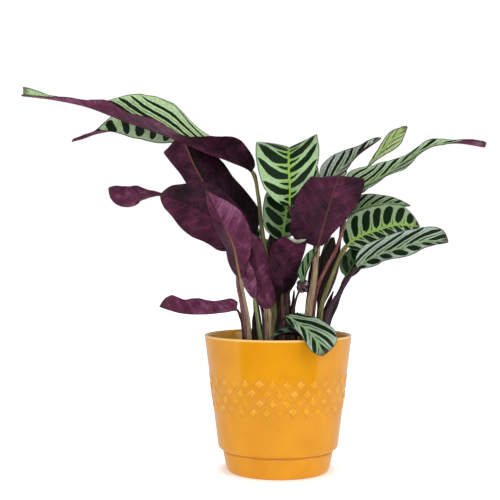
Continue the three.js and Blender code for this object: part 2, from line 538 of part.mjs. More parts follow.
// Blade: the middle surface thickened both ways, with the rib standing out below
function makeBlade(leaf) {
  const path = leafPath(leaf);
  const [lengthCells, widthCells] = leaf.cells;
  const upper = [];
  const lower = [];
  for (let i = 0; i <= lengthCells; i++) {
    const t = rowShare(i, lengthCells);
    for (let j = 0; j <= widthCells; j++) {
      const v = (2 * j) / widthCells - 1;
      const place = bladePoint(leaf, path, t, v);
      if (i === 0) {
        const across = scale(place.side, v * BLADE_BASE_HALF_WIDTH);
        const round = Math.sqrt(1 - 0.75 * v * v) * BLADE_BASE_THICKNESS / 2;
        upper.push(add(add(place.centre, across), scale(place.normal, round)));
        lower.push(add(add(place.centre, across), scale(place.normal, -round)));
        continue;
      }
      const atTip = i === lengthCells && leaf.tip !== 0;
      const normal = atTip ? place.normal : bladeNormal(leaf, path, t, v);
      const rib = v === 0 ? RIB_THICKNESS - (RIB_THICKNESS - BLADE_THICKNESS) * t : BLADE_THICKNESS;
      const fold = v === 0 ? Math.min(1 / Math.cos(place.lift), 1.4) : 1;
      upper.push(add(place.point, scale(normal, fold * BLADE_THICKNESS / 2)));
      lower.push(add(place.point, scale(normal, -fold * (rib - BLADE_THICKNESS / 2))));
    }
  }
  return closedMesh([...upper, ...lower], slabFaces(lengthCells + 1, widthCells + 1));
}

// Closed tube through rings of equal count, with a flat end at each side
function tubeFromRings(rings) {
  const sides = rings[0].length;
  const points = rings.flat();
  const faces = [];
  for (let i = 0; i < rings.length - 1; i++) {
    for (let j = 0; j < sides; j++) {
      const a = i * sides + j;
      const b = i * sides + (j + 1) % sides;
      faces.push([a, b, b + sides], [a, b + sides, a + sides]);
    }
  }
  const top = (rings.length - 1) * sides;
  for (let j = 1; j < sides - 1; j++) {
    faces.push([0, j + 1, j], [top, top + j, top + j + 1]);
  }
  return closedMesh(points, faces);
}

// Ring of points round a centre, square to a direction and turned with a reference
function ringAt(centre, direction, reference, radius, sides) {
  const u = unit(sub(reference, scale(direction, dot(reference, direction))));
  const w = cross(direction, u);
  return Array.from({ length: sides }, (_, j) => {
    const angle = (2 * Math.PI * j) / sides;
    return add(centre, add(scale(u, radius * Math.cos(angle)), scale(w, radius * Math.sin(angle))));
  });
}

// Straight start of a stalk in the soil
function stalkRoot(leaf) {
  const foot = [leaf.foot[0], leaf.foot[1], SOIL_TOP];
  const direction = unit(sub([...leaf.stalk, ...leaf.rib][0], foot));
  return { foot, direction, bottom: sub(foot, scale(direction, STALK_DEPTH)) };
}

// Stalk: a tapered tube from the bottom of its hole to just short of the blade
function makeStalk(leaf) {
  const path = leafPath(leaf);
  const root = stalkRoot(leaf);
  const [thick, thin] = leaf.stalkRadius ?? [2.6, 1.4];
  const reference = [1, 0, 0];
  const end = path.junction - STALK_GAP;
  const rows = Math.max(3, Math.round(end / 24));
  const rings = [ringAt(root.bottom, root.direction, reference, thick, STALK_SIDES)];
  rings.push(ringAt(root.foot, root.direction, reference, thick, STALK_SIDES));
  for (let i = 1; i <= rows; i++) {
    const s = (end * i) / rows;
    const centre = path.curve.at(s);
    const ahead = path.curve.at(s + 0.5);
    const behind = path.curve.at(s - 0.5);
    const radius = thick + (thin - thick) * (s / end) ** 0.8;
    rings.push(ringAt(centre, unit(sub(ahead, behind)), reference, radius, STALK_SIDES));
  }
  return tubeFromRings(rings);
}

// Hole for one stalk, a straight tube a little wider than the stalk
function makeHole(leaf) {
  const root = stalkRoot(leaf);
  const radius = ((leaf.stalkRadius ?? [2.6])[0] + HOLE_GAP) / Math.cos(Math.PI / HOLE_SIDES);
  const low = sub(root.bottom, scale(root.direction, HOLE_GAP));
  const high = add(root.foot, scale(root.direction, 6));
  return tubeFromRings([low, high].map((centre) => ringAt(centre, root.direction, [1, 0, 0], radius, HOLE_SIDES)));
}

// Closed body of revolution about Z from a profile of [radius, height], with welded vertices
function turned(profile, sides) {
  const lathe = new THREE.LatheGeometry(profile.map(([r, z]) => new THREE.Vector2(r, z)), sides);
  lathe.rotateX(Math.PI / 2);
  lathe.deleteAttribute("normal");
  lathe.deleteAttribute("uv");
  return mergeVertices(lathe, 0.001);
}

function toSolid(geometry) {
  return new wasm.Manifold(new wasm.Mesh({
    numProp: 3,
    vertProperties: new Float32Array(geometry.getAttribute("position").array),
    triVerts: new Uint32Array(geometry.getIndex().array),
  }));
}

function toGeometry(solid) {
  const mesh = solid.getMesh();
  const geometry = new THREE.BufferGeometry();
  geometry.setAttribute("position", new THREE.BufferAttribute(new Float32Array(mesh.vertProperties), 3));
  geometry.setIndex(new THREE.BufferAttribute(new Uint32Array(mesh.triVerts), 1));
  return geometry;
}

// Radius of the pot's outer wall at a height above the shoulder
function wallRadius(z) {
  const share = (z - POT_SHOULDER_HEIGHT) / (POT_HEIGHT - POT_SHOULDER_HEIGHT);
  return POT_SHOULDER_RADIUS + (POT_RIM_RADIUS - POT_SHOULDER_RADIUS) * share;
}

function makePot() {
  const inside = POT_RIM_RADIUS - POT_WALL;
  const insideFoot = POT_STEP_RADIUS - POT_WALL;
  const rimFoot = POT_HEIGHT - POT_RIM_ROUND;
  const profile = [
    [0, 0],
    [POT_BASE_RADIUS, 0],
    [POT_FOOT_RADIUS, POT_FOOT_ROUND],
    [POT_STEP_RADIUS, POT_STEP_HEIGHT],
    [POT_SHOULDER_RADIUS, POT_SHOULDER_HEIGHT],
  ];
  const rowStep = (BAND_TOP - BAND_BOTTOM) / (BAND_ROWS + 1);
  for (let row = 0; row <= BAND_ROWS + 1; row++) {
    const z = BAND_BOTTOM + row * rowStep;
    profile.push([wallRadius(z), z]);
  }
  profile.push(
    [wallRadius(rimFoot), rimFoot],
    [POT_RIM_RADIUS - 0.7, POT_HEIGHT],
    [inside + 0.7, POT_HEIGHT],
    [inside, rimFoot],
    [insideFoot, POT_STEP_HEIGHT],
    [insideFoot - 3, POT_FLOOR],
    [0, POT_FLOOR],
  );
  const pot = turned(profile, POT_SIDES);
  const position = pot.getAttribute("position");
  for (let i = 0; i < position.count; i++) {
    const x = position.getX(i);
    const y = position.getY(i);
    const z = position.getZ(i);
    const radius = Math.hypot(x, y);
    const row = Math.round((z - BAND_BOTTOM) / rowStep);
    const onRow = Math.abs(z - BAND_BOTTOM - row * rowStep) < 0.01 && row > 0 && row <= BAND_ROWS;
    if (!onRow || Math.abs(radius - wallRadius(z)) > 0.1) continue;
    const column = Math.round((Math.atan2(y, x) * POT_SIDES) / (2 * Math.PI));
    if ((column + row) % 2 !== 0) continue;
    const wider = (radius + BAND_RELIEF) / radius;
    position.setXY(i, x * wider, y * wider);
  }
  return pot;
}

// Soil: fills the pot, with a low crown and a hole for every stalk
function makeSoil() {
  const slope = (POT_RIM_RADIUS - POT_STEP_RADIUS) / (POT_HEIGHT - POT_RIM_ROUND - POT_STEP_HEIGHT);
  const insideAt = (z) => POT_STEP_RADIUS - POT_WALL + (z - POT_STEP_HEIGHT) * slope;
  const edge = SOIL_TOP - 2;
  const profile = [
    [0, POT_FLOOR + SOIL_GAP],
    [POT_STEP_RADIUS - POT_WALL - 3 - 2 * SOIL_GAP, POT_FLOOR + SOIL_GAP],
    [POT_STEP_RADIUS - POT_WALL - 2 * SOIL_GAP, POT_STEP_HEIGHT],
    [insideAt(edge) - 2 * SOIL_GAP, edge],
    [insideAt(edge) - 4, SOIL_TOP],
    [0, SOIL_TOP + SOIL_CROWN],
  ];
  let soil = toSolid(turned(profile, SOIL_SIDES));
  for (const leaf of LEAVES) soil = soil.subtract(toSolid(makeHole(leaf)));
  return toGeometry(soil);
}

function named(name, geometry, colour, roughness, metalness = 0) {
  const material = new THREE.MeshStandardMaterial({ color: colour, roughness, metalness });
  const mesh = new THREE.Mesh(geometry, material);
  mesh.name = name;
  return mesh;
}

const plant = new THREE.Group();
plant.name = "potted_fishbone_prayer_plant";
plant.add(named("pot", makePot(), GLAZE, 0.2));
plant.add(named("soil", makeSoil(), COMPOST, 0.95));
for (const leaf of LEAVES) {
  const colour = leaf.seen === "above" ? LEAF_GREEN : LEAF_PURPLE;
  plant.add(named(`leaf_${leaf.name}`, makeBlade(leaf), colour, 0.5));
  plant.add(named(`stalk_${leaf.name}`, makeStalk(leaf), leaf.stalkColour, 0.6));
}

export default plant;
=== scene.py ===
# Potted fishbone prayer plant in a yellow glazed pot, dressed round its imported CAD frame.
# Metres, +Z up, the pot's axis on X = Y = 0. Leaf and pot values are in millimetres, as in the CAD source.

import math
import random

import bmesh
import bpy
import numpy as np
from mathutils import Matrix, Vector, noise


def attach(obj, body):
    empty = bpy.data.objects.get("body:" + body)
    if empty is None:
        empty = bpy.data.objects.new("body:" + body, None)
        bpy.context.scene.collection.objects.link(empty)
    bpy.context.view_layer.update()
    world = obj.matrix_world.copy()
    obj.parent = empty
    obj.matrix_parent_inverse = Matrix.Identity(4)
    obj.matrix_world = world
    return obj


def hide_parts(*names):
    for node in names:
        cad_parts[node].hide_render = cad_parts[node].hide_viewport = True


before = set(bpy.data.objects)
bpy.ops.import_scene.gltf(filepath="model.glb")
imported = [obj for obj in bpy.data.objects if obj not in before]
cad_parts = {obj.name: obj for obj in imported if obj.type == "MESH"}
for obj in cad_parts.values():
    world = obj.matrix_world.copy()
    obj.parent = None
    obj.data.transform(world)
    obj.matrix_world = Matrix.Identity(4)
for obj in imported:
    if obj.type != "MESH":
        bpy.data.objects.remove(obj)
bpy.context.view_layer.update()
bpy.ops.object.select_all(action="DESELECT")

# Camera. The photograph is a level view from 1 m in front of the pot and 219 mm above the floor,
# 28 mm to the left of the pot's axis, so that one pixel is one millimetre at the axis.
bpy.ops.object.camera_add(location=(-0.028, -1.0, 0.219), rotation=(math.radians(90), 0, 0))
camera = bpy.context.object
camera.name = "camera"
camera.data.lens = 72
camera.data.sensor_width = 36
bpy.context.scene.camera = camera
bpy.context.scene.view_settings.view_transform = "Standard"

# Studio. A light tent: a white paper floor that glows a little, a soft white surround, one large
# soft light high in front on the right, and three low ones, in front, left and right, that reach under
# the leaves and over the pot's rim. The floor and the black card are stage pieces.


def linear(hex_colour):
    """sRGB hex to the linear colour that a shader takes."""
    shares = [((hex_colour >> shift) & 255) / 255 for shift in (16, 8, 0)]
    return [c / 12.92 if c <= 0.04045 else ((c + 0.055) / 1.055) ** 2.4 for c in shares] + [1.0]


def add_node(material, kind, inputs=None, out=0, **settings):
    """Output of a new shader node of a material or world, with settings, and inputs set or linked."""
    tree = material.node_tree
    made = tree.nodes.new("ShaderNode" + kind)
    for name, value in settings.items():
        setattr(made, name, value)
    for key, value in (inputs or {}).items():
        if isinstance(value, bpy.types.NodeSocket):
            tree.links.new(value, made.inputs[key])
        else:
            made.inputs[key].default_value = value
    return made.outputs[out] if made.outputs else None


def plain_material(name):
    """A new node material that holds no nodes yet."""
    material = bpy.data.materials.new(name)
    material.use_nodes = True
    material.node_tree.nodes.clear()
    return material


def finish_material(material, surface):
    """The material, with a principled surface that has these inputs."""
    shader = add_node(material, "BsdfPrincipled", surface)
    add_node(material, "OutputMaterial", {"Surface": shader})
    return material


bpy.ops.mesh.primitive_plane_add(size=8, location=(0, 1.5, 0))
floor = bpy.context.object
floor.name = "floor"
floor_white = plain_material("studio_floor_white_paper")
place = add_node(floor_white, "TexCoord", out="Object")
from_pot = add_node(floor_white, "VectorMath", {0: place, 1: (0, -1.5, 0)}, out="Value",
                    operation="DISTANCE")
# The floor glows less within 54 to 75 mm of the pot's axis: a painted shade ring round the foot. Its extra
# glow past that is seen only by the camera.
clear = add_node(floor_white, "MapRange", {
    "Value": from_pot, "From Min": 0.054, "From Max": 0.075, "To Min": 0.05, "To Max": 0.7})
seen = add_node(floor_white, "LightPath", out="Is Camera Ray")
glow = add_node(floor_white, "Math", {0: seen, 1: clear, 2: 0.26}, operation="MULTIPLY_ADD")
floor.data.materials.append(finish_material(floor_white, {
    "Base Color": linear(0xF4F4F4), "Roughness": 0.9, "Specular IOR Level": 0.0,
    "Emission Color": linear(0xFFFFFF), "Emission Strength": glow}))

world = bpy.data.worlds.new("studio")
world.use_nodes = True
world.node_tree.nodes.clear()
soft_white, gloss_white, bright_white = (
    add_node(world, "Background", {"Color": linear(0xFFFFFF), "Strength": strength})
    for strength in (0.5, 0.6, 1.02))
glossy = add_node(world, "LightPath", out="Is Glossy Ray")
seen = add_node(world, "LightPath", out="Is Camera Ray")
surround = add_node(world, "MixShader", {"Fac": glossy, 1: soft_white, 2: gloss_white})
surround = add_node(world, "MixShader", {"Fac": seen, 1: surround, 2: bright_white})
add_node(world, "OutputWorld", {"Surface": surround})
bpy.context.scene.world = world

for name, place, aim, size, power in [
    ("key_light", (0.75, -1.25, 1.25), (0, 0, 0.18), 0.9, 7.5),
    ("low_light", (-0.1, -1.7, 0.34), (0, 0, 0.16), 0.7, 8),
    ("left_light", (-1.3, -0.6, 0.36), (0, 0, 0.14), 0.6, 4),
    ("right_light", (1.3, -0.6, 0.36), (0, 0, 0.14), 0.6, 4),
]:
    bpy.ops.object.light_add(type="AREA", location=place)
    lamp = bpy.context.object
    lamp.name = name
    lamp.data.size = size
    lamp.data.energy = power
    lamp.rotation_euler = (Vector(place) - Vector(aim)).to_track_quat("Z", "Y").to_euler()

# The black card lies in front of the pot, out of the picture. Only gloss sees it: it gives the
# glaze the dark window that the studio's unlit front end leaves in the upper half of the pot.
CARD_INNER = 0.29
CARD_OUTER = 2.2
CARD_HALF_ANGLE = math.radians(59)
bpy.ops.mesh.primitive_grid_add(x_subdivisions=24, y_subdivisions=4, size=2, location=(0, 0, 0))
card = bpy.context.object
card.name = "black_card"
for vertex in card.data.vertices:
    angle = vertex.co.x * CARD_HALF_ANGLE
    reach = CARD_INNER + (CARD_OUTER - CARD_INNER) * (vertex.co.y + 1) / 2
    vertex.co = (math.sin(angle) * reach, -math.cos(angle) * reach, 0.002)
card_black = plain_material("black_flocked_card")
card.data.materials.append(finish_material(card_black, {
    "Base Color": linear(0x060606), "Roughness": 1.0, "Specular IOR Level": 0.0}))
card.visible_camera = False
card.visible_diffuse = False
card.visible_shadow = False

# Pot. Slip-cast earthenware with a transparent orange-yellow glaze over it, tapered, with a foot
# that is set in by a step and a band of small raised stars. It is spun from its profile in
# millimetres, and the stars are raised out of the wall. It stands on the floor on its foot.
MM = 0.001
POT_HEIGHT = 135
POT_RIM = 73.6
POT_SHOULDER = (59.8, 24.5)
POT_SIDES = 512
STAR_COUNT = 32
STAR_ROWS = (66.3, 75.0, 83.7, 92.4)
STAR_HALF_WIDTH = 5.7
STAR_HALF_HEIGHT = 6.1
STAR_RELIEF = 1.0
STAR_HOLLOW = 0.66
STAR_JITTER = 0.5


def wall_radius(z):
    """Outer radius of the pot above its shoulder."""
    share = (z - POT_SHOULDER[1]) / (POT_HEIGHT - POT_SHOULDER[1])
    return POT_SHOULDER[0] + (POT_RIM - POT_SHOULDER[0]) * share


def put_values(mesh, values):
    """Named values on the points of a mesh, which its material reads."""
    for name, value in values.items():
        attribute = mesh.attributes.new(name, "FLOAT", "POINT")
        attribute.data.foreach_set("value", np.ascontiguousarray(value, np.float32).ravel())


profile = [(0, 2.4), (44, 2.4), (46.5, 1.9), (47.6, 0.3), (48.2, 0), (49.4, 0), (50.3, 0.5), (51.2, 2.2)]
profile += [(51.9, 4.6), (52.6, 8), (53.5, 12), (54.4, 16), (54.9, 19), (54.8, 20.1), (54.3, 20.6)]
profile += [(54.4, 21.2), (55.4, 21.6), (57.4, 22.2), (58.8, 23.2), (59.5, 24.3), (59.95, 25.6)]
profile += [(wall_radius(z), z) for z in np.arange(28, 57.1, 3.2)]
profile += [(wall_radius(z), z) for z in np.arange(58, 101.1, 0.62)]
profile += [(wall_radius(z), z) for z in np.arange(104, 131.1, 3)]
profile += [(73.25, 132.6), (73.45, 133.9), (73.3, 134.6), (72.8, 135), (71.6, 135), (70.6, 134.7)]
profile += [(69.9, 133.8), (69.6, 132), (68.2, 122), (60, 60), (52, 20), (48, 6), (0, 6)]
bpy.ops.mesh.primitive_plane_add(size=0.01, location=(0, 0, 0))
pot = bpy.context.object
pot.name = "glazed_pot"
outline = bmesh.new()
corners = [outline.verts.new((r * MM, 0, z * MM)) for r, z in profile]
for start, end in zip(corners, corners[1:]):
    outline.edges.new((start, end))
outline.to_mesh(pot.data)
outline.free()
bpy.ops.object.mode_set(mode="EDIT")
bpy.ops.mesh.select_all(action="SELECT")
bpy.ops.mesh.spin(steps=POT_SIDES, angle=2 * math.pi, center=(0, 0, 0), axis=(0, 0, 1))
bpy.ops.mesh.select_all(action="SELECT")
bpy.ops.mesh.remove_doubles(threshold=0.00001)
bpy.ops.mesh.normals_make_consistent(inside=False)
bpy.ops.object.mode_set(mode="OBJECT")

count = len(pot.data.vertices)
co = np.zeros(count * 3)
pot.data.vertices.foreach_get("co", co)
co = co.reshape(-1, 3)
radius = np.hypot(co[:, 0], co[:, 1]) / MM
height = co[:, 2] / MM
turn = np.arctan2(co[:, 0], -co[:, 1]) * STAR_COUNT / (2 * math.pi)
on_wall = (height > 57) & (height < 102) & (radius > wall_radius(height) - 1)
relief = np.zeros(count)
star_rings_and_crease_shade = np.zeros(count)
for row, star_height in enumerate(STAR_ROWS):
    across = turn + 0.5 * (row % 2)
    star = np.round(across) + 37 * row
    across = (across - np.round(across)) * (2 * math.pi * wall_radius(star_height) / STAR_COUNT)
    u = np.abs(across + STAR_JITTER * np.sin(2.9 * star)) / STAR_HALF_WIDTH
    v = np.abs(height - star_height + STAR_JITTER * np.sin(5.3 * star)) / STAR_HALF_HEIGHT
    inside = 1 - (u ** STAR_HOLLOW + v ** STAR_HOLLOW)
    crisp = 0.35 + 0.65 * np.sin(7.1 * star) ** 2
    raised = np.clip(inside / 0.2, 0, 1)
    raised = raised * raised * (3 - 2 * raised)
    dimple = np.clip(1 - np.hypot(u, v) / 0.16, 0, 1)
    relief = np.maximum(relief, raised * crisp * (1 - 0.7 * dimple))
    # A ring just outside each star's edge is darker, more on one side of the star, mostly its lower side.
    lower_side_weight = 0.4 + 0.6 * (np.sin(3.7 * star) * across + (star_height - height) > 0)
    star_rings_and_crease_shade = np.maximum(star_rings_and_crease_shade, np.clip(1 - np.abs(inside + 0.1) / 0.16, 0, 1) * lower_side_weight)
relief *= on_wall
star_rings_and_crease_shade *= on_wall * (1 - relief)
stretch = 1 + relief * STAR_RELIEF / np.maximum(radius, 1)
co[:, 0] *= stretch
co[:, 1] *= stretch
pot.data.vertices.foreach_set("co", co.ravel())
# Painted shade: the glaze is also darkened in the crease between the shoulder and the foot.
star_rings_and_crease_shade = np.maximum(star_rings_and_crease_shade, np.clip(1 - np.hypot(radius - 54.6, (height - 20.9) * 1.4) / 1.5, 0, 1))
# Painted light: the glaze on the inner wall is painted lighter, as if the inside were well lit.
inner_wall_painted_light = ((radius < wall_radius(height) - 2) & (height > 60)).astype(float)
# Painted highlight: a pale line along the rounded outer lip.
lip_painted_highlight = np.clip(1.15 - np.hypot(radius - 73.1, height - 134.3) / 1.3, 0, 1)
put_values(pot.data, {"relief": relief, "star_rings_and_crease_shade": star_rings_and_crease_shade, "inner_wall_painted_light": inner_wall_painted_light, "lip_painted_highlight": lip_painted_highlight})
bpy.ops.object.shade_smooth_by_angle(angle=math.radians(50))


def set_ramp(ramp, stops):
    """Colours of the ramp node behind an output, as pairs of a place and an sRGB hex colour."""
    elements = ramp.node.color_ramp.elements
    while len(elements) < len(stops):
        elements.new(0.5)
    for element, (place, colour) in zip(elements, stops):
        element.position = place
        element.color = linear(colour)


# Glazed earthenware: a smooth glossy coat, colour a little uneven, paler over the stars where the
# glaze ran thin, darker in a ring round each star, with fine dark specks about 0.5 mm wide. Painted
# light makes the inner wall lighter and lays a pale line along the lip, a painted highlight, and
# painted shade darkens the crease under the shoulder.
glaze = plain_material("glazed_earthenware_orange_yellow")
place = add_node(glaze, "TexCoord", out="Object")
cloud = add_node(glaze, "TexNoise", {"Vector": place, "Scale": 38.0, "Detail": 3.0})
tone = add_node(glaze, "ValToRGB", {"Fac": cloud})
set_ramp(tone, [(0.3, 0xD08A04), (0.7, 0xDC9407)])
speck = add_node(glaze, "TexNoise", {"Vector": place, "Scale": 900.0, "Detail": 1.0})
speck_mask = add_node(glaze, "MapRange", {"Value": speck, "From Min": 0.66, "From Max": 0.76})
specked = add_node(glaze, "Mix", {
    "Factor": speck_mask, 6: tone, 7: linear(0xC67C04)}, data_type="RGBA", out=2)
for name, strength, glaze_tone in (("relief", 0.45, 0xF2AE16), ("star_rings_and_crease_shade", 0.55, 0xB06E04),
                                   ("inner_wall_painted_light", 1.0, 0xFFB52A), ("lip_painted_highlight", 1.0, 0xF8CE82)):
    share = add_node(glaze, "Attribute", attribute_name=name, out="Fac")
    share = add_node(glaze, "Math", {0: share, 1: strength}, operation="MULTIPLY")
    specked = add_node(glaze, "Mix", {
        "Factor": share, 6: specked, 7: linear(glaze_tone)}, data_type="RGBA", out=2)
wander = add_node(glaze, "TexNoise", {"Vector": place, "Scale": 160.0, "Detail": 2.0})
ripple = add_node(glaze, "Bump", {"Height": wander, "Strength": 0.06, "Distance": 0.0006})
finish_material(glaze, {"Base Color": specked, "Roughness": 0.16, "IOR": 1.45, "Normal": ripple})
pot.data.materials.append(glaze)
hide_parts("pot")
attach(pot, "root")

# Soil. Moist peat compost that fills the pot and holds the stalks. It is a flat disc, 15 mm below
# the rim, drawn down to a smaller floor. The stalks start and the crumbs lie at the height of the
# CAD source's domed soil, which is 2.3 mm above this flat one.
SOIL_TOP = 122
SOIL_SURFACE = 119.7
SOIL_EDGE = 66.6
SOIL_DEPTH = 97.7
SOIL_FLOOR_SHARE = 0.78
bpy.ops.mesh.primitive_circle_add(vertices=96, radius=SOIL_EDGE * MM, fill_type="NGON",
                                  location=(0, 0, SOIL_SURFACE * MM))
soil = bpy.context.object
soil.name = "compost"
bpy.ops.object.transform_apply(location=True, rotation=True, scale=True)
bpy.ops.object.mode_set(mode="EDIT")
bpy.ops.mesh.select_all(action="SELECT")
bpy.ops.mesh.extrude_region_move(TRANSFORM_OT_translate={"value": (0, 0, -SOIL_DEPTH * MM)})
bpy.ops.transform.resize(value=(SOIL_FLOOR_SHARE, SOIL_FLOOR_SHARE, 1), center_override=(0, 0, 0))
bpy.ops.mesh.select_all(action="SELECT")
bpy.ops.mesh.normals_make_consistent(inside=False)
bpy.ops.object.mode_set(mode="OBJECT")
bpy.ops.object.shade_smooth()

# Moist peat: rough, nearly black brown, with paler fibres and crumbs.
peat = plain_material("moist_peat_compost")
place = add_node(peat, "TexCoord", out="Object")
grain = add_node(peat, "TexNoise", {"Vector": place, "Scale": 420.0, "Detail": 6.0})
grain_tone = add_node(peat, "ValToRGB", {"Fac": grain})
set_ramp(grain_tone, [(0.35, 0x1E140E), (0.55, 0x3A291D), (0.72, 0x5E4632)])
grain_bump = add_node(peat, "Bump", {"Height": grain, "Strength": 0.8, "Distance": 0.0015})
finish_material(peat, {
    "Base Color": grain_tone, "Roughness": 0.95, "Specular IOR Level": 0.2,
    "Normal": grain_bump})
soil.data.materials.append(peat)
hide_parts("soil")
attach(soil, "root")

# Bark crumbs. Small broken lumps of pine bark strewn over the compost, each a squashed icosphere
# of its own size and turn, all joined to one piece. They clear the flat surface by up to 3 mm.
CRUMB_COUNT = 260
CRUMB_CROWN = 1.2
CRUMB_EDGE_DROP = 2.0
draw = random.Random(7)
bpy.ops.mesh.primitive_ico_sphere_add(subdivisions=1, radius=1, location=(0, 0, 0))
crumbs = bpy.context.object
crumbs.name = "bark_crumbs"
pattern = [vertex.co.copy() for vertex in crumbs.data.vertices]
faces = [tuple(face.vertices) for face in crumbs.data.polygons]
points = []
polygons = []
for _ in range(CRUMB_COUNT):
    angle = draw.uniform(0, 2 * math.pi)
    reach = math.sqrt(draw.random()) * (SOIL_EDGE - 4)
    size = draw.uniform(0.7, 2.4)
    stretch = Vector((draw.uniform(0.7, 1.6), draw.uniform(0.5, 1.0), draw.uniform(0.35, 0.8))) * size
    turn_by = draw.uniform(0, math.pi)
    base = Vector((math.cos(angle) * reach, math.sin(angle) * reach, 0))
    share = reach / SOIL_EDGE
    lift = SOIL_TOP + CRUMB_CROWN * (1 - share) - CRUMB_EDGE_DROP * share ** 8 + size * 0.15
    first = len(points)
    for corner in pattern:
        rough = corner * draw.uniform(0.75, 1.15)
        x, y = rough.x * stretch.x, rough.y * stretch.y
        points.append(((base.x + x * math.cos(turn_by) - y * math.sin(turn_by)) * MM,
                       (base.y + x * math.sin(turn_by) + y * math.cos(turn_by)) * MM,
                       (lift + rough.z * stretch.z) * MM))
    polygons += [tuple(first + corner for corner in face) for face in faces]
crumbs.data.clear_geometry()
crumbs.data.from_pydata(points, [], polygons)

# Pine bark: rough and matt, brown, with darker and paler grain about 7 mm wide.
bark = plain_material("pine_bark_crumbs")
place = add_node(bark, "TexCoord", out="Object")
bark_grain = add_node(bark, "TexNoise", {"Vector": place, "Scale": 150.0, "Detail": 4.0})
bark_tone = add_node(bark, "ValToRGB", {"Fac": bark_grain})
set_ramp(bark_tone, [(0.3, 0x22160F), (0.55, 0x4A3324), (0.75, 0x7A5C42)])
finish_material(bark, {"Base Color": bark_tone, "Roughness": 0.9, "Specular IOR Level": 0.2})
crumbs.data.materials.append(bark)
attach(crumbs, "root")

# Leaves. Each blade is a thin satin sheet, light green with dark fishbone bands above and purple
# below, with its midrib standing out below. Each stands on the end of its own stalk.

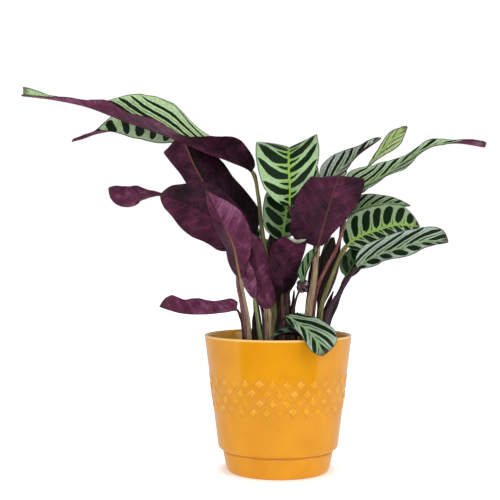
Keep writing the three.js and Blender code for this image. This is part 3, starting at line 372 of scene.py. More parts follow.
# Every blade is one surface: a rib curve, a facing, a half-width, and a lift and a curl for each half,
# which the right half shares where only the left is given. The values are the CAD source's own.
LEAVES = [
    {"name": "high_left", "foot": [-3, -6], "stalk": [[-5, -2, 169], [-12, 0, 209], [-17, -2, 247],
     [-20, -4, 274]], "rib": [[-26, -6, 297], [-46, -9, 307], [-68, -12, 315], [-91, -18, 324],
     [-115, -24, 333], [-148, -30, 344], [-183, -34, 357], [-216, -36, 364], [-247, -36, 368]],
     "face": [[0.2, -0.3, 0.9], [0.2, -0.35, 0.9], [0.2, -0.35, 0.9], [0.15, -0.35, 0.9],
     [0.1, -0.35, 0.9], [0, -0.5, 0.8]], "half": 33,
     "shape": [0.72, 0.86, 0.95, 1, 0.88, 0.6, 0.27, 0.13, 0.2], "base": 0.15, "tip": 0,
     "lift_left": [60, 74, 50, 31, 27, 32, 30, 46, 30, 25, 10],
     "curl_left": [0, 0, 0, 0, 0, 10, 20, 40, 60, 50, 40],
     "lift_right": [0, 4, 14, 36, 60, 72, 70, 55, 50, 60, 60],
     "curl_right": [0, 0, 10, 10, 10, 10, 10, 10, 10, 20, 50],
     "wide_right": [1, 0.9, 0.84, 0.88, 1.12, 0.98, 0.45, 1, 1.3], "wave": [1.3, 5, 0.5],
     "thick": [4.2, 1.6]},
    {"name": "second_left", "foot": [-10, 16], "stalk": [[-12, 24, 168], [-24, 34, 229], [-44, 40, 281],
     [-60, 41, 307]], "rib": [[-75, 38, 322], [-95, 31, 333], [-117, 18, 341], [-139, 5, 346],
     [-158, -3, 345], [-172, -6, 339], [-183, -7, 334.5], [-193, -7, 330.5], [-205, -7, 327]],
     "face": [[0.1, -0.7, 0.7], [0, -0.7, 0.7], [-0.1, -0.75, 0.6], [-0.15, -0.65, 0.7], [0, -0.4, 0.9]],
     "half": 22, "shape": [0.8, 0.95, 1, 1, 0.95, 0.84, 0.55, 0.34, 0.3], "base": 0.15, "tip": 0.05,
     "lift_left": [5, 5, 0, -6, -16, -8, 12], "curl_left": [0, 0, 0, 0, 20, 110, 60],
     "lift_right": [15, 15, 15, 15, 20, 15, 12], "curl_right": [0, 0, 5, 10, 20, 90, 50],
     "wide_left": [0.4, 0.6, 1, 1, 1, 1], "wide_right": [1, 1, 1, 1, 0.95, 0.8, 0.56, 0.2, 0.3]},
    {"name": "dark_back_left", "foot": [-20, 4], "stalk": [[-22, 6, 151], [-26, 8, 189]],
     "rib": [[-35, 8, 221], [-53, 4, 255], [-69, 0, 279], [-79, -2, 295], [-87, -4, 311],
     [-90.5, -6, 320], [-94, -7, 328], [-97, -7, 333]], "face": [[-0.1, 0.9, 0.3], [-0.1, 0.9, 0.3],
     [-0.1, 0.9, 0.2], [-0.1, 0.85, 0.4], [-0.15, 0.8, 0.5]], "half": 31,
     "shape": [0.8, 1, 1, 0.98, 0.94, 0.86, 0.7], "tip": 0.08, "lift_left": [20, 25, 25, 25],
     "curl_left": [0, 10, 10, 10], "lift_right": [20, 30, 25, 15, 5], "curl_right": [0, 10, 10, 0, -10],
     "wide_left": [1, 1.1, 1.1, 1.04, 1, 0.75, 0.3],
     "wide_right": [1, 1, 0.9, 0.75, 0.62, 0.6, 0.64, 0.88, 1.15]},
    {"name": "broad_left", "foot": [-32, -10],
     "stalk": [[-36, -10, 165], [-40, -8, 187], [-39, -5, 205]], "rib": [[-35, -3, 222], [-50, -7, 238],
     [-69.5, -13, 253], [-92, -18, 264.5], [-116, -21, 273]],
     "face": [[0, 0.95, 0.1], [0, 0.95, 0.1], [0, 0.95, 0.2]], "half": 25.5,
     "shape": [0.85, 0.98, 1, 0.98, 0.9, 0.72, 0.5], "base": 0.2, "tip": 0.1, "lift_left": [15],
     "curl_left": [0, 10], "wide_left": [1, 1, 1.05, 1.2, 1.2, 0.95, 0.7],
     "wide_right": [0.9, 0.9, 1, 1.13, 1.12, 0.94, 0.7], "wave": [1.2, 3.4, 0], "thick": [3, 1.6]},
    {"name": "far_left_tip", "foot": [-16, 20], "stalk": [[-20, 26, 157], [-34, 32, 207],
     [-63, 32, 248], [-89, 24, 268]], "rib": [[-111, 12, 275], [-124, 6, 275], [-138, 0, 274],
     [-153, 0, 273], [-169, -3, 281]], "face": [[0.2, 0.9, 0.2], [0.1, 0.9, 0.2], [0, 0.9, 0.2],
     [0, 0.95, 0]], "half": 11, "shape": [0.12, 0.2, 0.45, 0.85, 1, 0.95, 0.7, 0.4], "base": 0.02,
     "tip": 0.12, "lift_left": [40, 30, 10], "curl_left": [40, 20, 0],
     "wide_right": [1, 1, 1.1, 1.35, 1.1], "wave": [2, 3.6, 2.6], "thick": [2.4, 1.2]},
    {"name": "front_mauve", "foot": [-28, -32], "stalk": [[-30, -31, 153], [-34, -32, 174]],
     "rib": [[-37, -33, 191], [-40, -34, 205], [-44, -36, 224], [-55, -35, 246], [-71, -29, 278]],
     "face": [[0.45, 0.85, 0.1], [0.45, 0.85, 0.1], [0.4, 0.85, 0.2]], "half": 23,
     "shape": [0.7, 0.85, 0.95, 1, 1, 0.9, 0.6], "base": 0.25, "tip": 0.46, "lift_left": [25, 25, 20],
     "curl_left": [0, 10], "lift_right": [35, 35, 30],
     "wide_left": [0.45, 0.63, 0.81, 0.94, 0.92, 0.72, 0.45], "wave": [0.8, 2.5, 1]},
    {"name": "mauve_strip", "foot": [-16, -28], "stalk": [[-21, -27, 153]], "rib": [[-24, -25, 172],
     [-28, -26, 185], [-32, -27, 200], [-36, -27, 214]], "face": [[0.2, 0.9, 0.1]], "half": 8,
     "base": 0.4, "tip": 0.4, "lift_left": [40, 30], "lift_right": [30, 20]},
    {"name": "magenta_left", "foot": [-9, -16], "stalk": [[-10, -17, 140]], "rib": [[-11, -19, 161],
     [-15, -20, 180], [-20, -20, 199], [-25, -19, 219], [-31, -17, 237]], "face": [[0.1, 0.95, 0.1]],
     "half": 12.5, "shape": [0.75, 0.9, 0.96, 1, 1, 0.9, 0.8], "base": 0.14, "tip": 0.2,
     "lift_left": [25, 20], "curl_left": [0, 10], "curl_right": [0, 20],
     "wide_right": [1, 1.2, 1.4, 1.3, 1], "wave": [0.8, 2.5, 0.4], "thick": [4.6, 3]},
    {"name": "low_left", "foot": [-34, -24], "stalk": [[-35, -24, 139], [-37, -24, 152]],
     "rib": [[-41, -26, 161], [-51, -29, 160], [-72, -33, 158], [-94, -36, 159], [-115, -38, 165]],
     "face": [[0, -0.1, 1]], "half": 16, "shape": [0.9, 0.95, 0.96, 1, 1, 1, 1], "base": 0.1,
     "tip": 0.12, "lift_left": [55], "curl_left": [0, 20, 30], "lift_right": [30],
     "curl_right": [0, 20, 20], "wave": [1.2, 2, 1], "thick": [1.5, 1]},
    {"name": "centre_face", "foot": [9, -9], "stalk": [[9, -11, 170], [12, -15, 201], [17, -18, 224],
     [16, -22, 243]], "rib": [[11, -21, 262], [11, -23, 278], [10, -22, 297], [10, -16, 313],
     [11, 0, 322], [15, 19, 319], [17, 33, 306], [19, 41, 288]], "face": [[0, -0.95, 0.2],
     [0, -0.95, 0.2], [0, -0.85, 0.5], [0, -0.1, 1], [0, 0.6, 0.8], [0, 0.9, 0.3]], "half": 35,
     "shape": [0.55, 0.82, 0.97, 1, 1, 0.9, 0.7], "base": 0.15, "lift_left": [20, 22, 22, 14, 10, 20],
     "curl_left": [0, 0, -10, -20, 0, 0], "lift_right": [14, 9, 10, 27, 30, 22], "curl_right": [0],
     "wide_left": [1, 1, 1, 0.92, 0.76, 0.8, 0.8],
     "wide_right": [0.64, 0.76, 0.86, 0.87, 0.82, 0.72, 0.7]},
    {"name": "centre_low", "foot": [3, 4], "stalk": [[1, 4, 169], [2, 0, 207]], "rib": [[4, -4, 228],
     [6, -7, 243], [8, -6, 259], [8, -1, 273], [7, 8, 287]], "face": [[-0.15, -0.95, 0.3],
     [-0.15, -0.95, 0.3], [-0.1, -0.9, 0.5], [-0.1, -0.6, 0.8]], "half": 24,
     "shape": [0.5, 0.8, 0.95, 1, 0.95, 0.85, 0.7], "base": 0.2, "lift_left": [25, 20],
     "lift_right": [15], "wide_right": [0.6, 0.6, 0.7]},
    {"name": "upright_purple", "foot": [27, -20], "stalk": [[29, -24, 158], [34, -33, 192]],
     "rib": [[37, -38, 222], [42, -41, 242], [48, -41, 262], [53, -38, 277], [57, -32, 288],
     [58, -23, 291], [58, -13, 285], [58, -9, 276]], "face": [[0, 1, -0.1], [0, 1, -0.1],
     [0, 0.97, -0.25], [0, 0.85, -0.5], [0, 0.05, -1], [0, -0.95, -0.3]], "half": 31,
     "shape": [0.92, 0.92, 0.95, 1, 0.95, 0.85, 0.6], "base": 0.07, "lift_left": [18, 15, 5, 0],
     "curl_left": [0, 5, 0], "lift_right": [14, 4, 2, 0],
     "wide_left": [0.2, 0.36, 0.58, 0.74, 0.83, 0.88, 0.94, 1, 1],
     "wide_right": [1.02, 1.12, 0.84, 0.65], "wave": [1, 2.5, 0.3], "thick": [4.8, 2.4]},
    {"name": "curl_top_right", "foot": [29, 14], "stalk": [[33, 20, 168], [38, 28, 214], [42, 29, 255]],
     "rib": [[49, 27, 283], [58, 23, 295], [69, 20, 305], [79, 13, 314], [91, 10, 323], [104, 8, 332]],
     "face": [[-0.4, -0.7, 0.6]], "half": 19, "shape": [0.8, 1, 1, 0.72, 0.4, 0.34, 0.3], "base": 0.2,
     "tip": 0.2, "lift_left": [20, 20, 20, 12, 10], "curl_left": [0, 0, 10, 90, 50]},
    {"name": "spear_right", "foot": [35, 26], "stalk": [[39, 36, 178], [59, 36, 245], [77, 30, 286]],
     "rib": [[93, 22, 305], [104, 19, 318], [117, 16, 332], [131, 12, 344]],
     "face": [[-0.5, -0.8, 0.5], [-0.3, -0.8, 0.5]], "half": 11,
     "shape": [0.2, 0.4, 0.7, 0.95, 1, 0.9, 0.6], "base": 0.05, "tip": 0.4, "lift_left": [60],
     "curl_left": [60, 50], "lift_right": [0], "curl_right": [0, 20], "wide_left": [0.5, 0.6, 0.8, 1, 1],
     "wide_right": [0.6, 0.8, 1.05, 1.2, 1.1], "thick": [2, 1]},
    {"name": "long_right", "foot": [34, -6], "stalk": [[35, -10, 160], [39, -15, 184], [46, -20, 200],
     [54, -24, 215], [60, -26, 231], [64, -20, 245], [68, -10, 259]], "rib": [[74, 9, 272],
     [85, 7, 283], [102, 2, 291.5], [121, -4, 304], [136, -9, 314.5], [152, -12, 322], [174, -13, 325],
     [204, -13, 321]], "face": [[-0.2, -0.4, 0.85], [-0.2, -0.4, 0.9], [-0.1, -0.5, 0.9],
     [0, -0.4, 0.95], [0.1, -0.2, 0.95]], "half": 14, "shape": [0.8, 1, 1, 1.05, 0.95, 0.55, 0.4, 0.4],
     "base": 0.1, "tip": 0, "lift_left": [45, 34, 14, 12, 12], "curl_left": [0, 0, 10, 60, 110],
     "lift_right": [5, 5, 5, 10, 20], "curl_right": [0, 0, 10, 30, 90],
     "wide_left": [1.7, 1.6, 1.25, 0.62, 0.6, 0.62, 0.75, 1, 1], "wave": [2, 3.2, 1],
     "thick": [2.4, 1.4]},
    {"name": "broad_right", "foot": [39, -12], "stalk": [[44, -14, 169], [51, -17, 189], [58, -19, 207]],
     "rib": [[67, -18, 223], [79, -20, 232], [97, -22, 239], [116, -24, 244], [138, -23, 242]],
     "face": [[-0.15, -0.75, 0.65]], "half": 28, "shape": [0.8, 0.95, 1, 1, 0.95, 0.82, 0.6],
     "base": 0.14, "tip": 0.25, "lift_left": [15, 12, 12], "curl_left": [0, -10, -20],
     "lift_right": [-20, -28, -24], "curl_right": [0], "wide_left": [0.55, 0.95, 1, 1, 1],
     "wide_right": [0.5, 0.52, 0.5, 0.42, 0.3], "thick": [3, 1.8]},
    {"name": "narrow_behind_right", "foot": [38, 8], "stalk": [[45, 12, 164], [53, 15, 179],
     [61, 20, 201], [64, 24, 229]], "rib": [[69, 24, 252], [90, 18, 263], [112, 11, 266], [133, 4, 264]],
     "face": [[-0.1, -0.6, 0.8]], "half": 14.5, "lift_left": [20], "wide_left": [1.5, 1.15, 0.7, 0.5],
     "wide_right": [1.3, 1.4, 1.2], "thick": [2.8, 1.4]},
    {"name": "low_right", "foot": [42, -20], "stalk": [[50, -22, 163], [62, -24, 181]],
     "rib": [[76, -28, 202], [95, -37, 214], [115, -48, 221], [136, -55, 227], [159, -56, 227]],
     "face": [[-0.2, -0.75, 0.6]], "half": 17, "shape": [0.7, 0.92, 0.97, 0.98, 0.92, 0.8, 0.62],
     "base": 0.2, "tip": 0.1, "lift_left": [20, 15, 15, 20], "curl_left": [0, 0, 0, 60],
     "lift_right": [15, 15, 15, 20], "wide_right": [0.8, 0.76, 0.86, 0.84, 0.84, 0.9, 1],
     "wave": [1.2, 2.4, 0.4], "thick": [2.8, 1.5]},
    {"name": "dark_behind_right", "foot": [44, 2], "stalk": [[55, 0, 165], [62, 0, 179]],
     "rib": [[68, -1, 192], [76, 1, 205], [91, 6, 218], [112, 11, 227]], "face": [[-0.2, -0.8, 0.6]],
     "half": 14},
    {"name": "centre_purple", "foot": [4, -21], "stalk": [[4, -21, 152]], "rib": [[4, -22, 176],
     [5, -26, 193], [8, -29, 208], [12, -33, 219.5], [15, -39, 226.5], [17, -44.5, 229], [18, -49, 225]],
     "face": [[0, 0.95, 0.1], [0, 0.95, 0.1], [0.05, 0.95, 0.2], [0.25, 0.8, 0.6], [0.25, 0.1, 1],
     [0.1, -0.95, 0.3]], "half": 22, "shape": [0.5, 0.66, 0.84, 1, 1, 0.9, 0.7], "base": 0.15,
     "tip": 0.12, "lift_left": [25, 20, 10, 5], "wide_left": [0.9, 0.75, 0.62, 0.6, 0.6],
     "wide_right": [0.8, 0.84, 0.9, 0.74, 0.5]},
    {"name": "young_centre", "foot": [14, -20], "stalk": [[15, -27, 163], [17, -33, 173]],
     "rib": [[23, -38, 188], [26, -43, 199], [31, -47, 210], [37, -50, 222]],
     "face": [[-0.6, -0.7, 0.2]], "half": 8, "lift_left": [30], "curl_left": [30, 40, 60],
     "thick": [1.6, 1]},
    {"name": "rim_drape", "foot": [2, -30], "stalk": [[2, -34, 142], [3, -41, 152]],
     "rib": [[6, -50, 156], [16, -59, 151], [26, -69, 144], [34, -79, 134], [39, -83, 122]],
     "face": [[-0.2, -0.2, 0.95], [-0.1, -0.6, 0.8], [0, -0.9, 0.3], [0, -1, 0]], "half": 15,
     "shape": [0.8, 0.95, 1, 1, 1, 1, 0.96], "tip": 0.3, "lift_left": [10, 5], "curl_left": [-10, -20],
     "wide_left": [0.9, 1.05, 1.3, 1.6], "wide_right": [0.5, 0.52, 0.62, 0.8], "thick": [1.6, 1]},
    {"name": "low_front_soil", "foot": [35, -30], "stalk": [[35, -36, 127]], "rib": [[28, -46, 134],
     [17, -52, 139], [4, -55, 140], [-9, -56, 136]], "face": [[0, -0.2, 1]], "half": 9,
     "thick": [1.8, 1]},
    {"name": "back_centre", "foot": [10, 30], "stalk": [[11, 34, 167], [16, 38, 207]],
     "rib": [[20, 42, 238], [21, 50, 266], [20, 62, 295], [18, 82, 316], [17, 112, 319]],
     "face": [[0.1, -0.9, 0.5], [0.1, -0.7, 0.7], [0, -0.1, 1]], "half": 26},
    {"name": "back_right", "foot": [24, 36], "stalk": [[35, 42, 171], [45, 44, 206]],
     "rib": [[59, 46, 242], [76, 58, 260], [95, 78, 268], [117, 100, 265]],
     "face": [[-0.2, -0.5, 0.85], [0, 0.1, 1]], "half": 20},
    {"name": "back_left", "foot": [-5, 34], "stalk": [[-7, 38, 167], [-16, 40, 196]],
     "rib": [[-28, 44, 219], [-41, 60, 238], [-56, 82, 249], [-72, 106, 250]],
     "face": [[0.2, -0.5, 0.85], [0, 0.1, 1]], "half": 22},
    {"name": "back_low_right", "foot": [32, 42], "stalk": [[39, 48, 167]], "rib": [[48, 52, 196],
     [63, 72, 206], [82, 95, 212], [97, 116, 215]], "face": [[-0.2, -0.3, 0.95], [0, 0.3, 1]],
     "half": 19},
    {"name": "back_low_left", "foot": [-13, 40], "stalk": [[-15, 46, 156]], "rib": [[-24, 54, 181],
     [-28, 68, 200], [-33, 88, 212], [-39, 110, 219]], "face": [[0.2, -0.3, 0.95], [0, 0.3, 1]],
     "half": 20},
    {"name": "back_middle", "foot": [8, 46], "stalk": [[5, 50, 164]], "rib": [[0, 54, 185],
     [-1, 66, 206], [-2, 84, 222], [-1, 112, 229]], "face": [[0, -0.3, 0.95], [0, 0.3, 1]], "half": 22},
]

OVAL = [0.8, 0.92, 0.99, 1, 0.95, 0.84, 0.66]
TIGHTEST_ROLL = 1.6
FLAT_HALF_WIDTH = 5
TIP_HALF_WIDTH = 0.6
USUAL_BASE = 0.22
USUAL_TIP = 0.35
USUAL_LIFT = [25]


def cubic(p, m, q, n, span, u):
    """Points of cubics from p to q with end slopes m and n over a span, at shares u."""
    u = u[:, None]
    span = np.asarray(span, float).reshape(-1, 1)
    return ((2 * u ** 3 - 3 * u ** 2 + 1) * p + (u ** 3 - 2 * u ** 2 + u) * span * m
            + (3 * u ** 2 - 2 * u ** 3) * q + (u ** 3 - u ** 2) * span * n)


def smooth_curve(points):
    """Smooth curve through points, measured by chord length: a function, and where each point is."""
    points = np.array(points, float)
    reach = np.concatenate([[0], np.cumsum(np.linalg.norm(np.diff(points, axis=0), axis=1))])
    step = np.diff(reach)[:, None]
    slant = np.diff(points, axis=0) / step
    slope = np.zeros_like(points)
    slope[0] = slant[0]
    slope[-1] = slant[-1]
    slope[1:-1] = (slant[:-1] * step[1:] + slant[1:] * step[:-1]) / (step[:-1] + step[1:])

    def at(distance):
        s = np.clip(np.atleast_1d(distance), 0, reach[-1])
        k = np.clip(np.searchsorted(reach, s, side="right") - 1, 0, len(points) - 2)
        span = reach[k + 1] - reach[k]
        return cubic(points[k], slope[k], points[k + 1], slope[k + 1], span, (s - reach[k]) / span)

    return at, reach


def along(values, t):
    """Smooth values at even steps from t = 0 to t = 1."""
    values = np.array(values, float)
    flat = values.ndim == 1
    if flat:
        values = values[:, None]
    t = np.atleast_1d(t)
    last = len(values) - 1
    if last == 0:
        out = np.repeat(values, len(t), axis=0)
    else:
        slope = np.gradient(values, axis=0)
        x = np.clip(t, 0, 1) * last
        k = np.minimum(np.floor(x).astype(int), last - 1)
        out = cubic(values[k], slope[k], values[k + 1], slope[k + 1], np.ones(len(t)), x - k)
    return out[:, 0] if flat else out


def leaf_path(leaf):
    """Curve of a leaf from the soil to the end of its rib, and the rib's even measure."""
    points = [[*leaf["foot"], SOIL_TOP], *leaf["stalk"], *leaf["rib"]]
    at, reach = smooth_curve(points)
    junction = reach[1 + len(leaf["stalk"])]
    places = np.linspace(junction, reach[-1], 300)
    length = np.concatenate([[0], np.cumsum(np.linalg.norm(np.diff(at(places), axis=0), axis=1))])
    return at, junction, reach[-1], places, length


def unit_rows(rows):
    return rows / np.linalg.norm(rows, axis=1, keepdims=True)


def leaf_surface(leaf, t, v):
    """Middle surface at rows t along the rib and columns v across it, with the facts of each row."""
    at, junction, end, places, length = leaf_path(leaf)
    s = np.interp(t * length[-1], length, places)
    centre = at(s)
    tangent = unit_rows(at(np.minimum(s + 0.5, end)) - at(np.maximum(s - 0.5, 0)))
    facing = along(leaf["face"], t)
    normal = unit_rows(facing - tangent * np.sum(facing * tangent, axis=1, keepdims=True))
    side = np.cross(tangent, normal)
    base = np.clip(1 - t / leaf.get("base", USUAL_BASE), 0, 1)
    tip_share = leaf.get("tip", USUAL_TIP)
    tip = np.clip(1 - (1 - t) / tip_share, 0, 1) if tip_share > 0 else np.zeros_like(t)
    width = leaf["half"] * along(leaf.get("shape", OVAL), t) * np.sqrt(1 - base ** 2) * (1 - tip ** 2) ** 0.7
    width = np.maximum(width, TIP_HALF_WIDTH)
    height, waves, phase = leaf.get("wave", (0, 3, 0))
    fade = np.sqrt(np.maximum(np.sin(math.pi * np.clip(t, 0, 1)), 0))
    points = np.zeros((len(t), len(v), 3))
    halves = []
    lift_values = USUAL_LIFT
    curl_values = [0]
    for left in (True, False):
        hand = "left" if left else "right"
        half = width * along(leaf.get("wide_" + hand, [1]), t)
        lift_values = leaf.get("lift_" + hand, lift_values)
        curl_values = leaf.get("curl_" + hand, curl_values)
        lift = np.radians(along(lift_values, t))
        lift = lift * np.minimum(half / FLAT_HALF_WIDTH, 1)
        curl = np.radians(along(curl_values, t))
        curl = np.clip(curl, -half / TIGHTEST_ROLL, half / TIGHTEST_ROLL)
        curl = np.where(np.abs(curl) < 0.001, 0.001, curl)
        halves.append(half)
        columns = np.nonzero(v < 0 if left else v >= 0)[0]
        for j in columns:
            x = abs(v[j])
            out = half / curl * (np.sin(lift + curl * x) - np.sin(lift))
            up = -half / curl * (np.cos(lift + curl * x) - np.cos(lift))
            up += height * np.sin(2 * math.pi * waves * t + phase + (0 if left else 1.3)) * x * x * fade
            points[:, j] = centre + side * (-out if left else out)[:, None] + normal * up[:, None]
    return points, normal, halves, length[-1]


# How each blade is marked. A pattern lists shares of the half-width with half the width of a long and
# of a short band there, in gaps between bands. Each half of a leaf has its pattern, the gap in mm, the
# slant of its bands off the midrib, their bend and their shift along the rib. The leaf has the tones
# near the midrib and near the edge, how much the midrib shows, how light the purple of its two halves
# is from base to tip, and how warm the midrib looks below from base to tip. The lightness of the purple
# is partly the leaf's own tone and partly painted light and shade: a leaf that stands in shade is given
# a lighter purple, and some are lighter towards a tip that catches a sheen. The greens of leaves in the
# shade behind are darkened, painted shade, and the silvery greens of some leaves on the right are partly
# a painted sheen. Marks that a leaf leaves out at its end are as in USUAL_MARKS.
PATTERNS = {
    "fishbone": ((0, 0.17, 0.12), (0.12, 0.22, 0.13), (0.3, 0.3, 0.09), (0.42, 0.34, -0.02),
                 (0.62, 0.37, -0.1), (0.76, 0.34, -0.1), (0.86, 0.26, -0.1), (0.93, 0.1, -0.1),
                 (0.97, -0.1, -0.1), (1, -0.1, -0.1)),
    "ovals": ((0, -0.06, 0.05), (0.07, 0.05, 0.05), (0.14, 0.27, 0.04), (0.3, 0.35, 0.02),
              (0.6, 0.37, -0.02), (0.78, 0.33, -0.1), (0.87, 0.2, -0.1), (0.92, -0.04, -0.1),
              (1, -0.1, -0.1)),
    "arcs": ((0, 0.3, -0.1), (0.5, 0.32, -0.1), (0.72, 0.27, -0.1), (0.84, 0.1, -0.1), (0.9, -0.1, -0.1),
             (1, -0.1, -0.1)),
    "stripes": ((0, 0.12, 0.08), (0.15, 0.2, 0.08), (0.5, 0.27, 0.05), (0.8, 0.22, 0.03),
                (0.93, 0.1, -0.05), (1, -0.04, -0.1)),
    "thin": ((0, 0.08, -0.1), (0.4, 0.15, -0.1), (0.75, 0.12, -0.1), (0.95, -0.04, -0.1), (1, -0.1, -0.1)),
    "plain": ((0, -0.1, -0.1), (1, -0.1, -0.1)),
}
FISHBONE = ("fishbone", 14, 0.6, 0.012, 0)
FISHBONE_2 = ("fishbone", 14, 0.6, 0.012, 0.42)
USUAL_GREENS = (FISHBONE, FISHBONE_2, 0x86A866, 0x98B488)
USUAL_MARKS = (*USUAL_GREENS, 0.6, [0.4], [0.4], [0])
MARKS = {
    "high_left": (("stripes", 21, 1.2, 0, 0.1), ("stripes", 34, 4.6, 0, 0.52), 0xB2CE86, 0xBDD6A6, 0.1,
        [0.12, 0.22, 0.45, 0.6, 0.7, 0.8], [0.25, 0.4, 0.5]),
    "second_left": (("arcs", 15, 0, 0.012, 0.3), ("arcs", 15, 0, 0.012, 0.3), 0xA9C088, 0xBFD3AE, 0, [0.6],
        [0.6]),
    "dark_back_left": (*USUAL_GREENS, 0.9, [0], [0.18, 0.36], [0.15, 0.3]),
    "broad_left": (*USUAL_GREENS, 0.3, [0.28, 0.16], [0.4, 0.34]),
    "far_left_tip": (*USUAL_GREENS, 0.2, [0.75, 0.5], [0.75, 0.5]),
    "front_mauve": (*USUAL_GREENS, 0.9, [0.42, 0.62, 0.85], [0.3, 0.4, 0.82], [0.9, 0.5, 0, 0]),
    "mauve_strip": (*USUAL_GREENS, 0.2, [0.72], [0.72]),
    "magenta_left": (*USUAL_GREENS, 0.15, [0.55, 0.5], [0.55, 0.5]),
    "low_left": (*USUAL_GREENS, 0.2, [0.62], [0.62]),
    "centre_face": (("fishbone", 15, -0.15, 0.018, 0.45), ("fishbone", 15, 0.35, 0.02, 0.14), 0x8CB05C,
        0xA4C092, 1),
    "centre_low": (("ovals", 13, 0.2, 0.016, 0), ("ovals", 13, 0.3, 0.012, 0.42), 0x6F8E55, 0x7E9273, 0.6,
        [0.2], [0.2]),
    "upright_purple": (*USUAL_GREENS, 0.7, [0.3], [0.22, 0.34], [0.2, 0.1]),
    # Silvery greens, partly the leaf's own tone and partly a painted sheen.
    "curl_top_right": (("stripes", 20, 2.4, 0, 0), ("stripes", 20, 2.4, 0, 0.42), 0xA9BA98, 0xC2CBC2, 0.2,
        [0.5], [0.5]),
    "spear_right": (("thin", 14, 3, 0, 0), ("thin", 14, 3, 0, 0.42), 0xB4CA84, 0xC6D3A0, 0.2),
    "long_right": (("stripes", 24, 3.4, 0, 0), ("stripes", 24, 3.4, 0, 0.42), 0xA4BE8C, 0xB8CCAA, 0.1,
        [0.65], [0.65]),
    "broad_right": (("ovals", 10.5, 0.2, 0.004, 0.2), ("fishbone", 10.5, 0.9, 0, 0.62), 0x8FAE62, 0x98AA8C,
        0.5),
    "narrow_behind_right": (("stripes", 12, 1.5, 0, 0), ("stripes", 12, 1.5, 0, 0.42), 0x96B47C, 0xB0C6A4,
        0.1),
    # Greyed greens, partly the leaf's own tone and partly a painted sheen.
    "low_right": (("stripes", 22, 3, 0, 0), ("ovals", 14, 0.9, 0, 0.42), 0x90A488, 0xACB8AC, 0.1),
    # Dark greens: painted shade on a leaf that stands in shade behind the stalks.
    "dark_behind_right": (FISHBONE, FISHBONE_2, 0x364A2C, 0x42543C, 0.2, [0.1], [0.1]),
    "centre_purple": (("plain", 12, 0, 0, 0), ("plain", 12, 0, 0, 0), 0xC2D2B4, 0xD8E0CE, 0.1,
        [0, 0.1, 0.34, 0.42], [0, 0.16, 0.38, 0.42]),
    "young_centre": (("stripes", 12, 2, 0, 0), ("stripes", 12, 2, 0, 0.42), 0x6F8E55, 0x7E9A78, 0.2, [0.2],
        [0.2]),
    # Blue-grey greens, partly the leaf's own tone and partly a painted sheen.
    "rim_drape": (("stripes", 20, 2.2, 0, 0), ("stripes", 20, 2.2, 0, 0.42), 0x86A07C, 0x9FAF9C, 0.2,
        [0.3], [0.3]),
    "low_front_soil": (FISHBONE, FISHBONE_2, 0x445C40, 0x5A6C58, 0.1, [0.1], [0.1]),
}
# The leaves at the back get dark greens: painted shade where they stand in the shade of the clump.
for name in ("back_low_left", "back_middle", "back_low_right"):
    MARKS[name] = (FISHBONE, FISHBONE_2, 0x3E5A34, 0x48644A, 0.3, [0.2], [0.2])
ROW_SPACING = 1.5
HALF_COLUMNS = 14
VEIN_RELIEF = 0.42
VEIN_SPACING = 2.2
SWELL_SPACING = 8
FLUTTER_LENGTH = 9
RIB_GROOVE = 0.35
EDGE_WAVE = 0.9
MIDRIB_THICKNESS = 1.5
BLADE_SHARE = 0.34
DRY_TIP = 7
DRYNESS = 0.75
BANDLESS_TIP = 0.3

# Blade, upper side: a waxy cuticle over pale grey-green with dark bluish-green bands on both sides
# of the midrib, a long one and a short one by turns, a yellow-green midrib, a thin dark margin and a
# dry brown tip.
upper = plain_material("prayer_plant_leaf_upper_side")
read = {}
for name in ("band", "edge", "rib_mm", "rim_mm", "rib_shown", "long_half", "short_half", "dry"):
    read[name] = add_node(upper, "Attribute", attribute_name=name, out="Fac")
inner_tone = add_node(upper, "Attribute", attribute_name="inner_tone")
outer_tone = add_node(upper, "Attribute", attribute_name="outer_tone")
place = add_node(upper, "TexCoord", out="Object")
wobble = add_node(upper, "TexNoise", {"Vector": place, "Scale": 140.0, "Detail": 2.0})
wobbled = add_node(upper, "Math", {0: wobble, 1: 0.16, 2: read["band"]}, operation="MULTIPLY_ADD")
number = add_node(upper, "Math", {0: wobbled}, operation="FLOOR")
part = add_node(upper, "Math", {0: wobbled}, operation="FRACT")
chance = add_node(upper, "TexWhiteNoise", {"W": number}, noise_dimensions="1D")
bold = add_node(upper, "Math", {0: chance, 1: 0.35, 2: 0.8}, operation="MULTIPLY_ADD")
from_middle = add_node(upper, "Math", {0: part, 1: 0.5}, operation="SUBTRACT")
from_middle = add_node(upper, "Math", {0: from_middle}, operation="ABSOLUTE")
from_join = add_node(upper, "Math", {0: 0.5, 1: from_middle}, operation="SUBTRACT")
band_masks = []
for name, distance in (("long_half", from_middle), ("short_half", from_join)):
    half_band = add_node(upper, "Math", {0: read[name], 1: bold}, operation="MULTIPLY")
    depth = add_node(upper, "Math", {0: half_band, 1: distance}, operation="SUBTRACT")
    band_masks.append(add_node(upper, "MapRange", {"Value": depth, "From Min": -0.012, "From Max": 0.03}))
bands = add_node(upper, "Math", {0: band_masks[0], 1: band_masks[1]}, operation="MAXIMUM")
past_rib = add_node(upper, "MapRange", {"Value": read["rib_mm"], "From Min": 0.7, "From Max": 1.3})
bands = add_node(upper, "Math", {0: bands, 1: past_rib}, operation="MULTIPLY")
outward = add_node(upper, "MapRange", {"Value": read["edge"], "From Min": 0.08, "From Max": 0.5})
ground = add_node(upper, "Mix", {
    "Factor": outward, 6: inner_tone, 7: outer_tone}, data_type="RGBA", out=2)
mottle = add_node(upper, "TexNoise", {"Vector": place, "Scale": 420.0, "Detail": 3.0})
mottle_fade = add_node(upper, "MapRange", {
    "Value": mottle, "From Min": 0.35, "From Max": 0.7, "To Min": 0.0, "To Max": 0.4})
